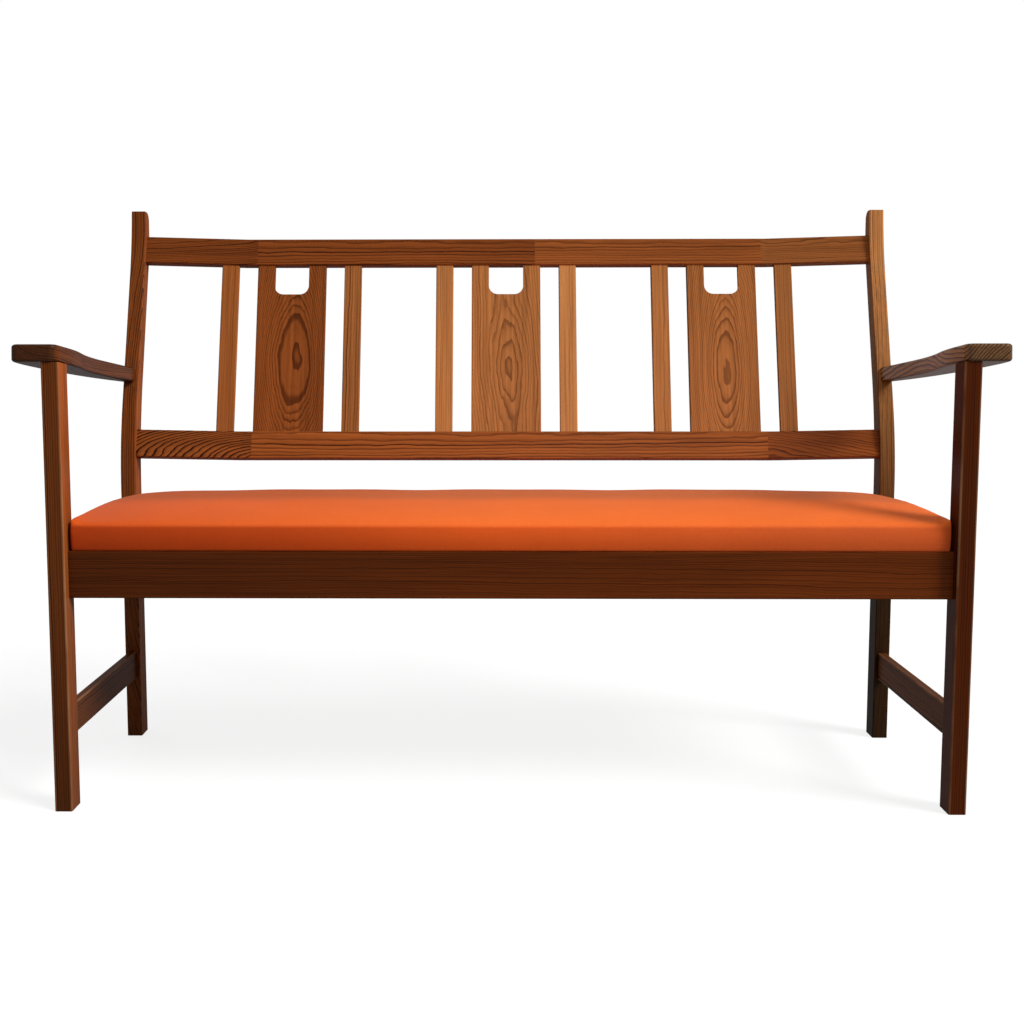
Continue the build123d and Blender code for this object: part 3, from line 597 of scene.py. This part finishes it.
class BENCH_OT_stain_back(bpy.types.Operator):
    """Stains the bent rails, splats and slats of the back"""

    bl_idname = "bench.stain_back"
    bl_label = "Stain the back"

    def execute(self, context):
        calm = {"edges": False, "mood": 0.5, "wander": 0.009}
        wavy = {"edges": False, "mood": 0.6, "wander": 0.01}
        stain("top_back_rail_left_end", LEFT_END, LEAN, (0.1, 0.03), dive=0.12,
              ring_spacing=0.0038, wander=0.013, mood=0.85, tone=0.45, warmth=0.73, shift=0.1,
              edges=False)
        stain("top_back_rail_left_middle", RIGHT, LEAN, (0.036, 0.03), swell=-0.01,
              ring_spacing=0.005, lines=1.1, tone=0.54, warmth=0.74, **wavy)
        stain("top_back_rail_right_middle", RIGHT, LEAN, (0.038, 0.03), swell=0.01,
              ring_spacing=0.0042, lines=0.8, tone=0.69, warmth=0.8, shift=0.2, **wavy)
        stain("top_back_rail_right_end", RIGHT_END, LEAN, (0.04, 0.05), dive=0.02,
              ring_spacing=0.0026, lines=0.65, tone=0.69, warmth=0.94, **calm)
        stain("lower_back_rail_left_end", LEFT_END, LEAN, (-0.03, 0.032), dive=-0.27,
              ring_spacing=0.0036, wander=0.01, lines=1.4, mood=0.3, tone=0.58, warmth=0.8,
              edges=False)
        stain("lower_back_rail_middle", RIGHT, LEAN, (0.037, 0.03), swell=0.01, place=-0.2,
              ring_spacing=0.005, lines=1.1, tone=0.78, warmth=0.79, **wavy)
        stain("lower_back_rail_right_end", RIGHT_END, LEAN, (-0.048, 0.05), pith_lean=-0.14,
              ring_spacing=0.0028, lines=0.85, tone=0.62, warmth=0.74, **calm)
        face = {"edges": False, "unevenness": 0.0}
        stain("back_splat_left", LEAN, RIGHT, (0.006, 0.09), swell=0.84, swell_limit=0.018,
              place=-0.025, ring_spacing=0.0026, crowding=1.5, quiet_ring=-2.0, bold_ring=-1.0,
              wander=0.006, lines=0.75, mood=0.4, tone=0.58, warmth=0.78, **face)
        stain("back_splat_centre", LEAN, RIGHT, (0.004, 0.0765), swell=0.8, swell_limit=0.0065,
              place=-0.035, pith_lean=-0.06, ring_spacing=0.0023, ring_growth=0.04,
              wander=0.009, lines=0.6, mood=0.6, tone=0.98, warmth=1.07, shift=0.5, **face)
        # Painted shade on the right splat's side faces.
        stain("back_splat_right", LEAN, RIGHT, (0.004, 0.0712), swell=0.5, swell_limit=0.03,
              place=-0.035, ring_spacing=0.00181, ring_growth=0.05, crowding=1.25, wander=0.005,
              lines=0.65, mood=0.6, tone=0.86, warmth=1.0, shift=1.0, side_tone=0.25, **face)
        # Painted light on the side faces of the left three slats, painted shade on those of the
        # right three.
        for number, (pith, lines, side_tone, tone, warmth) in enumerate((
                ((0.05, 0.03), 0.4, 1.3, 0.74, 0.9), ((-0.06, 0.05), 0.9, 1.3, 0.74, 1.03),
                ((0.07, 0.04), 0.4, 1.3, 1.04, 1.12), ((-0.05, 0.06), 0.4, 0.25, 1.3, 1.18),
                ((0.04, 0.05), 0.4, 0.25, 1.02, 1.08), ((-0.07, 0.03), 0.4, 0.25, 0.77, 1.05)), 1):
            stain(f"back_slat_{number}", LEAN, RIGHT, pith, wander=0.01, lines=lines,
                  ring_spacing=0.0036 + 0.0003 * (number % 3), side_tone=side_tone, tone=tone,
                  warmth=warmth, shift=0.37 * number, edges=False)
        return {"FINISHED"}


class BENCH_OT_finish_underside(bpy.types.Operator):
    """Finishes the bare pine, plywood and screws under the seat"""

    bl_idname = "bench.finish_underside"
    bl_label = "Finish the underside"

    def execute(self, context):
        for number, node in enumerate(("corner_block_front_left", "corner_block_front_right",
                                       "corner_block_back_left", "corner_block_back_right")):
            bare_pine(node, RIGHT, UP, (0.03 + 0.01 * number, 0.03))
        bare_pine("seat_bearer_left", BACKWARD, UP, (0.04, 0.02))
        bare_pine("seat_bearer_right", BACKWARD, UP, (-0.05, 0.03))
        dress("seat_board", plywood())
        dress("seat_board_screws", zinc())
        dress("seat_foam", foam())
        return {"FINISHED"}


def bare_pine(node, along, across, pith):
    """Pine as planed, without stain: the stained pine's rings in pale colours."""
    stain(node, along, across, pith, ring_spacing=0.0034, lines=0.6, gloss=0.5,
          early_colour=shade(226, 190, 140), late_colour=shade(188, 132, 80))


def plywood(ply=0.0014):
    """Birch plywood: a calm face grain, and thin plies of turning grain at its edge."""
    material, tree = blank_material("Birch plywood")
    seen = put(tree, "ShaderNodeTexCoord").outputs["Object"]
    grain = cloud(tree, seen, (5.0, 90.0, 5.0), detail=4.0, roughness=0.6)
    fleck = cloud(tree, seen, (60.0, 900.0, 60.0), detail=2.0)
    height = put(tree, "ShaderNodeSeparateXYZ", {0: seen}).outputs[2]
    turned = calc(tree, "GREATER_THAN", calc(tree, "PINGPONG", height, ply), ply / 2)
    share = swayed(tree, swayed(tree, 0.4, turned, 0.25), grain, 1.6)
    colour = blend_colours(tree, share, shade(222, 196, 156), shade(190, 152, 106))
    surface(tree, {"Base Color": colour, "Roughness": swayed(tree, 0.66, fleck, 0.2),
                   "Specular IOR Level": 0.3}, bump=(fleck, 0.3, 0.0002))
    return material


def zinc():
    """Bright zinc on the screws, a little clouded."""
    material, tree = blank_material("Zinc plated steel")
    seen = put(tree, "ShaderNodeTexCoord").outputs["Object"]
    spot = cloud(tree, seen, (900.0, 900.0, 900.0), detail=3.0)
    colour = blend_colours(tree, plus(tree, spot, 0.5), shade(196, 196, 190), shade(150, 152, 156))
    surface(tree, {"Base Color": colour, "Roughness": swayed(tree, 0.34, spot, 0.3),
                   "Metallic": 1.0})
    return material


def foam():
    """Open-celled upholstery foam."""
    material, tree = blank_material("Seat foam")
    seen = put(tree, "ShaderNodeTexCoord").outputs["Object"]
    cells = put(tree, "ShaderNodeTexVoronoi", {"Vector": seen, "Scale": 700.0})
    cells = cells.outputs["Distance"]
    colour = blend_colours(tree, cells, shade(214, 204, 176), shade(238, 230, 208))
    surface(tree, {"Base Color": colour, "Roughness": 0.95, "Specular IOR Level": 0.1},
            bump=(cells, 0.5, 0.0006))
    return material


def lattice_quads(cells):
    """The six sides of a box of lattice cells as quads that face outwards.

    Each side is a grid of two counts, with the third held at its end. A corner's number is made
    of its three lattice steps, so that sides share their corners. Gives the quads, each corner's
    steps, and each quad's side.
    """
    steps = np.array(cells) + 1
    quads, sides = [], []
    for fixed in range(3):
        first, second = [n for n in range(3) if n != fixed]
        a, b = np.meshgrid(np.arange(cells[first]), np.arange(cells[second]), indexing="ij")
        a, b = a.ravel(), b.ravel()
        for end in (0, 1):
            ring = ((0, 0), (1, 0), (1, 1), (0, 1))
            if (end == 1) == (fixed == 1):
                ring = ring[::-1]
            corners = np.zeros((len(a), 4, 3), int)
            corners[:, :, fixed] = end * cells[fixed]
            corners[:, :, first] = a[:, None] + np.array([r[0] for r in ring])
            corners[:, :, second] = b[:, None] + np.array([r[1] for r in ring])
            quads.append(corners)
            sides.append(np.full(len(a), 2 * fixed + end))
    corners = np.concatenate(quads)
    number = corners[..., 0] + steps[0] * (corners[..., 1] + steps[1] * corners[..., 2])
    found, place = np.unique(number, return_inverse=True)
    rows = found // steps[0]
    ijk = np.stack((found % steps[0], rows % steps[1], rows // steps[1]), axis=1)
    return place.reshape(number.shape), ijk, np.concatenate(sides)


def seat_form(ijk, cells, seat, inset):
    """Places lattice corners on the seat's form, held back by an inset.

    Steps grow from the edges inwards: along and across by a sine, upwards by a cosine and a
    straight run mixed. The top is a crown: its rise is the crown rise times one minus the distance
    from mid depth to a power, one in front and one behind, each lower at the ends than at mid
    length. It is scaled along the seat by one minus a share of the distance from mid length to the
    fall power, and two long, low waves cross it. The front corners stand up by the ear rise times
    the distance from mid length to the ear power and the distance from mid depth forwards squared.
    The four borders bow outwards by half a sine, the long ones more, and their upright corners are
    rounded.
    """
    share = ijk / np.array(cells)
    bent = np.sin((share[:, :2] * 2 - 1) * EDGE_CROWDING) / math.sin(EDGE_CROWDING)
    low, high = np.array(SEAT_LOW)[:2], np.array(SEAT_HIGH)[:2]
    half = (high - low) / 2 + SIDE_ROOM
    flat = bent * (half - BORDER_BOW)
    ends = np.abs(bent[:, 0]) ** seat.fall_power
    front, back = (middle - (middle - end) * ends for middle, end in (FRONT_POWERS, BACK_POWERS))
    swollen = 1 - np.abs(bent[:, 1]) ** np.where(bent[:, 1] < 0, front, back)
    crown = seat.crown_rise * (1 - (1 - seat.end_share) * ends)
    crown = crown - seat.swell_limit * (inset > 0) * (1 - ends)
    wave = sum(height * np.sin(flat[:, 0] * along + flat[:, 1] * across + start)
               for height, along, across, start in WAVES)
    ear = seat.ear_rise * np.abs(bent[:, 0]) ** EAR_POWER * np.maximum(-bent[:, 1], 0.0) ** 2
    top = seat.border_height - inset + (crown + wave) * swollen + ear
    level = LEVEL_CROWDING * (1 - np.cos(share[:, 2] * math.pi)) / 2
    level = level + (1 - LEVEL_CROWDING) * share[:, 2]
    edge = np.abs(share[:, :2] * 2 - 1) > 0.9999
    bow = np.outer(np.sin(math.pi * level), (BORDER_BOW, LONG_BORDER_BOW))
    flat = flat + np.sign(bent) * edge * bow
    straight = half - BORDER_BOW - seat.corner_radius
    past = np.abs(flat) - straight
    corner = (past > 0).all(axis=1)
    reach = np.where(corner, np.hypot(past[:, 0], past[:, 1]), 1.0)
    pull = np.where(corner, np.maximum(past[:, 0], past[:, 1]) / np.maximum(reach, 1e-9), 1.0)
    rounded = np.sign(flat) * (straight + past * pull[:, None])
    flat = np.where(corner[:, None], rounded, flat)
    return np.column_stack(((high + low) / 2 + flat, SEAT_LOW.z + top * level))


def fill_cover(piece, form, seat):
    """Fills the cover with air as cloth, holding its underside, and keeps it near its cut form."""
    held = piece.vertex_groups.new(name="held")
    held.add([int(n) for n in np.nonzero(form[:, 2] <= SEAT_LOW.z + 1e-6)[0]], 1.0, "REPLACE")
    cloth = piece.modifiers.new("Filling", "CLOTH")
    air = cloth.settings
    air.quality = 4
    air.mass = 0.35
    air.tension_stiffness = 60
    air.compression_stiffness = 60
    air.shear_stiffness = 8
    air.bending_stiffness = 3
    air.use_pressure = True
    air.uniform_pressure_force = seat.air_pressure
    air.vertex_group_mass = "held"
    air.effector_weights.gravity = 0
    cloth.collision_settings.use_collision = False
    scene = bpy.context.scene
    cloth.point_cache.frame_start, cloth.point_cache.frame_end = 1, CLOTH_STEPS
    for step in range(1, CLOTH_STEPS + 1):
        scene.frame_set(step)
    shown = piece.evaluated_get(bpy.context.evaluated_depsgraph_get())
    filled = np.zeros(len(form) * 3)
    shown.data.vertices.foreach_get("co", filled)
    filled = filled.reshape(-1, 3)
    piece.modifiers.remove(cloth)
    piece.vertex_groups.clear()
    scene.frame_set(1)
    move = filled - form
    length = np.linalg.norm(move, axis=1, keepdims=True)
    move = move * np.minimum(1.0, seat.swell_limit / np.maximum(length, 1e-9))
    middle = (form[:, :2].max(axis=0) + form[:, :2].min(axis=0)) / 2
    way = np.sign(form[:, :2] - middle)
    move[:, :2] = way * np.maximum(way * move[:, :2], 0.0)
    return form + move


def weave(tree, seat):
    """Height and unevenness of a plain weave on the piece's own UV map, which is in metres.

    A thread's number is its place divided by the pitch. Where the two thread numbers add up to an
    even number the lengthwise thread lies on top, elsewhere the other one, and each is round
    across its own width.
    """
    cloth = put(tree, "ShaderNodeUVMap", uv_map="Weave").outputs[0]
    sockets = {"Vector": cloth, "Scale": 60.0, "Detail": 1.0}
    drift = put(tree, "ShaderNodeTexNoise", sockets).outputs["Color"]
    sockets = {0: drift, 1: (0.0006, 0.0006, 0.0), 2: cloth}
    cloth = put(tree, "ShaderNodeVectorMath", sockets, operation="MULTIPLY_ADD").outputs[0]
    parts = put(tree, "ShaderNodeSeparateXYZ", {0: cloth}).outputs
    numbers = [calc(tree, "DIVIDE", parts[n], seat.thread_pitch) for n in (0, 1)]
    both = plus(tree, *(calc(tree, "FLOOR", number) for number in numbers))
    over = calc(tree, "GREATER_THAN", calc(tree, "FRACT", times(tree, both, 0.5)), 0.25)
    rounds = [calc(tree, "SINE", times(tree, calc(tree, "FRACT", number), math.pi))
              for number in numbers]
    slubs = [cloud(tree, cloth, stretch, detail=2.0)
             for stretch in ((900.0, 16.0, 1.0), (16.0, 900.0, 1.0))]
    return [put(tree, "ShaderNodeMix", {0: over, 2: first, 3: second}, data_type="FLOAT").outputs[0]
            for first, second in (rounds, slubs)]


def woven_cover(seat):
    """The seat's woven cover.

    Shade is painted into its colour: it is darker on the border below the crease and towards the
    left end, and darker along the back.
    """
    material, tree = blank_material("Orange woven cover")
    thread, slub = weave(tree, seat)
    seen = put(tree, "ShaderNodeTexCoord").outputs["Object"]
    parts = put(tree, "ShaderNodeSeparateXYZ", {0: seen}).outputs
    broad = cloud(tree, seen, (7.0, 9.0, 9.0), detail=3.0)
    fuzz = cloud(tree, seen, (260.0, 260.0, 260.0), detail=3.0)
    colour = blend_colours(tree, swayed(tree, thread, slub, 0.9), tuple(seat.shadow_colour),
                           tuple(seat.cover_colour))
    colour = darkened(tree, colour, swayed(tree, swayed(tree, 1.0, broad, 0.16), fuzz, 0.14))
    # Painted shade on the strip along the back.
    back_shade = rise(tree, swayed(tree, parts[1], broad, 0.03), *BACK_SHADE_STRIP, 0.0, BACK_SHADE_SHARE,
                  interpolation_type="SMOOTHSTEP")
    colour = blend_colours(tree, back_shade, colour, tuple(seat.back_shade_colour))
    # Painted shade: the border below the crease is darker than the top, and both darken towards the
    # left end.
    along = rise(tree, parts[0], SEAT_LOW.x, SEAT_HIGH.x)
    crease = SEAT_LOW.z + seat.border_height
    border = rise(tree, parts[2], *(crease + step for step in CREASE_BAND), 1.0, 0.0)
    painted_shade = blend_colours(tree, border, colour_run(tree, along, TOP_SHADE),
                         colour_run(tree, along, BORDER_SHADE))
    colour = blend_colours(tree, 1.0, colour, painted_shade, way="MULTIPLY")
    surface(tree, {
        "Base Color": colour, "Roughness": swayed(tree, 0.74, fuzz, 0.2),
        "Specular IOR Level": 0.12, "Sheen Weight": 0.06, "Sheen Roughness": 0.4,
        "Sheen Tint": (1.0, 0.78, 0.62, 1.0)}, bump=(swayed(tree, thread, slub, 0.5), 0.45, 0.0003))
    return material


class BENCH_OT_pad_seat(bpy.types.Operator):
    """Builds the crowned seat pad in its woven cover, turned under the board in a hem"""

    bl_idname = "bench.pad_seat"
    bl_label = "Pad the seat"

    def execute(self, context):
        seat = context.scene.bench_seat
        cells = (seat.cells_along, seat.cells_across, CELLS_UP)
        quads, ijk, sides = lattice_quads(cells)
        cut = seat_form(ijk, cells, seat, 0.0)
        form = seat_form(ijk, cells, seat, STITCH_INSET)
        mesh = bpy.data.meshes.new("seat_pad")
        mesh.from_pydata(form.tolist(), [], quads.tolist())
        self.unwrap(mesh, cut[quads.ravel()], np.repeat(sides // 2, 4))
        mesh.polygons.foreach_set("use_smooth", np.ones(len(quads), bool))
        piece = bpy.data.objects.new("seat_pad", mesh)
        context.scene.collection.objects.link(piece)
        filled = fill_cover(piece, form, seat)
        low, high = np.array(SEAT_LOW), np.array(SEAT_HIGH)
        filled = np.clip(filled, low - ROOM_OUTWARDS, high + ROOM_OUTWARDS + ROOM_UPWARDS)
        under = ijk[:, 2] == 0
        inner = (np.abs(cut[:, 0]) < high[0] - HEM) & (cut[:, 1] > low[1] + HEM)
        inner = inner & (cut[:, 1] < high[1] - HEM)
        filled[under, 2] = low[2]
        filled[under & inner, 2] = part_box("seat_board")[0].z + BOARD_SINK
        mesh.vertices.foreach_set("co", filled.astype(np.float32).ravel())
        mesh.update()
        smooth = piece.modifiers.new("Smooth", "SUBSURF")
        smooth.levels = smooth.render_levels = 1
        mesh.materials.append(woven_cover(seat))
        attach(piece, "root")
        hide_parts("seat_cover", "seat_foam")
        return {"FINISHED"}

    def unwrap(self, mesh, corner, side):
        """Lays each side flat in metres, by the two axes that it spans."""
        flat = np.where(side[:, None] == 2, corner[:, [0, 1]], corner[:, [0, 2]])
        flat = np.where(side[:, None] == 0, corner[:, [1, 2]], flat)
        layer = mesh.uv_layers.new(name="Weave")
        layer.data.foreach_set("uv", flat.astype(np.float32).ravel())


class BENCH_OT_set_studio(bpy.types.Operator):
    """Sets up the floor, the white surround, the lamps and the camera"""

    bl_idname = "bench.set_studio"
    bl_label = "Set the studio"

    def execute(self, context):
        studio = context.scene.bench_studio
        scene = context.scene
        scene.view_settings.view_transform = "Standard"
        self.lay_floor(scene, studio)
        self.light_surround(scene, studio)
        for name, energy, spread, way in (
                ("Key light", studio.key, KEY_SPREAD, KEY_WAY),
                ("Fill light", studio.fill, FILL_SPREAD, FILL_WAY)):
            lamp = self.hang_lamp(scene, name, "SUN", energy, way)
            lamp.angle = math.radians(spread)
        way = Vector(FRONT_AIM) - Vector(FRONT_PLACE)
        lamp = self.hang_lamp(scene, "Front light", "AREA", studio.front, way, FRONT_PLACE)
        lamp.shape = "RECTANGLE"
        lamp.size, lamp.size_y = FRONT_SIZE
        self.place_camera(scene, studio)
        return {"FINISHED"}

    def hang_lamp(self, scene, name, kind, energy, way, place=(0.0, 0.0, 0.0)):
        """Adds a lamp that shines one way, and gives its light."""
        light = bpy.data.lights.new(name, kind)
        light.energy = energy
        lamp = bpy.data.objects.new(name, light)
        lamp.location = place
        lamp.rotation_mode = "QUATERNION"
        lamp.rotation_quaternion = Vector(way).to_track_quat("-Z", "Y")
        scene.collection.objects.link(lamp)
        return light

    def place_camera(self, scene, studio):
        """Puts the camera at its place, turned about the upright, dipped and rolled."""
        view = bpy.data.cameras.new("Camera")
        view.sensor_width = 36.0
        view.lens = studio.lens
        view.shift_x, view.shift_y = studio.shift
        camera = bpy.data.objects.new("Camera", view)
        scene.collection.objects.link(camera)
        ahead = Vector((math.sin(studio.turn), math.cos(studio.turn), 0.0))
        level = Vector((math.cos(studio.turn), -math.sin(studio.turn), 0.0))
        upright = Vector(UP)
        line = ahead * math.cos(studio.dip) - upright * math.sin(studio.dip)
        lifted = ahead * math.sin(studio.dip) + upright * math.cos(studio.dip)
        right = level * math.cos(studio.roll) + lifted * math.sin(studio.roll)
        top = lifted * math.cos(studio.roll) - level * math.sin(studio.roll)
        turn = Matrix((right, top, -line)).transposed().to_4x4()
        camera.matrix_world = Matrix.Translation(studio.eye) @ turn
        scene.camera = camera

    def rays_that_see(self, tree):
        """1 where the camera, a mirror or glass looks, and 0 for the rays that carry soft light."""
        ray = put(tree, "ShaderNodeLightPath").outputs
        looks = calc(tree, "MAXIMUM", ray["Is Camera Ray"], ray["Is Glossy Ray"])
        return calc(tree, "MAXIMUM", looks, ray["Is Transmission Ray"])

    def lay_floor(self, scene, studio):
        """A flat floor that keeps the bench's shadow, with white added where it is seen."""
        across = np.linspace(-FLOOR_REACH, FLOOR_REACH, 3)
        x, y = np.meshgrid(across, across, indexing="ij")
        points = np.column_stack((x.ravel(), y.ravel(), np.zeros(x.size)))
        start = np.array([0, 1, 3, 4])
        quads = np.stack((start, start + 3, start + 4, start + 1), axis=1)
        mesh = bpy.data.meshes.new("studio_floor")
        mesh.from_pydata(points.tolist(), [], quads.tolist())
        floor = bpy.data.objects.new("studio_floor", mesh)
        scene.collection.objects.link(floor)
        material, tree = blank_material("Studio floor")
        matt = put(tree, "ShaderNodeBsdfDiffuse", {"Color": tuple(studio.floor_colour)})
        glow = times(tree, self.rays_that_see(tree), studio.floor_lift)
        lift = put(tree, "ShaderNodeEmission", {"Strength": glow})
        both = put(tree, "ShaderNodeAddShader", {0: matt.outputs[0], 1: lift.outputs[0]})
        put(tree, "ShaderNodeOutputMaterial", {"Surface": both.outputs[0]})
        mesh.materials.append(material)

    def light_surround(self, scene, studio):
        """Even light all round, and plain white where something looks past the bench."""
        world = scene.world or bpy.data.worlds.new("Studio")
        scene.world = world
        world.use_nodes = True
        tree = world.node_tree
        tree.nodes.clear()
        even, white = (
            put(tree, "ShaderNodeBackground", {"Color": WHITE, "Strength": strength}).outputs[0]
            for strength in (studio.surround, 1.0))
        seen = self.rays_that_see(tree)
        both = put(tree, "ShaderNodeMixShader", {0: seen, 1: even, 2: white})
        put(tree, "ShaderNodeOutputWorld", {"Surface": both.outputs[0]})


class BENCH_PT_workshop(bpy.types.Panel):
    """The bench's workshop in the sidebar"""

    bl_label = "Bench workshop"
    bl_idname = "BENCH_PT_workshop"
    bl_space_type = "VIEW_3D"
    bl_region_type = "UI"
    bl_category = "Bench"

    def draw(self, context):
        scene = context.scene
        for owner, operators in (
                (scene.bench_pine, ("stain_frame", "stain_back", "finish_underside")),
                (scene.bench_seat, ("pad_seat",)),
                (scene.bench_studio, ("set_studio",))):
            box = self.layout.box()
            for name in owner.__annotations__:
                box.prop(owner, name)
            for operator in operators:
                box.operator(f"bench.{operator}")


CLASSES = (
    BenchPine, BenchSeat, BenchStudio, BENCH_OT_stain_frame, BENCH_OT_stain_back,
    BENCH_OT_finish_underside, BENCH_OT_pad_seat, BENCH_OT_set_studio, BENCH_PT_workshop)


def register():
    """Adds the classes and the three groups of settings."""
    for each in CLASSES:
        bpy.utils.register_class(each)
    bpy.types.Scene.bench_pine = PointerProperty(type=BenchPine)
    bpy.types.Scene.bench_seat = PointerProperty(type=BenchSeat)
    bpy.types.Scene.bench_studio = PointerProperty(type=BenchStudio)


def unregister():
    """Takes the settings and classes out again."""
    for name in ("bench_pine", "bench_seat", "bench_studio"):
        delattr(bpy.types.Scene, name)
    for each in reversed(CLASSES):
        bpy.utils.unregister_class(each)


def main():
    """Dresses the bench piece by piece."""
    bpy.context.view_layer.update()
    register()
    bpy.ops.bench.stain_frame()
    bpy.ops.bench.stain_back()
    bpy.ops.bench.finish_underside()
    bpy.ops.bench.pad_seat()
    bpy.ops.bench.set_studio()


if __name__ == "__main__":
    main()
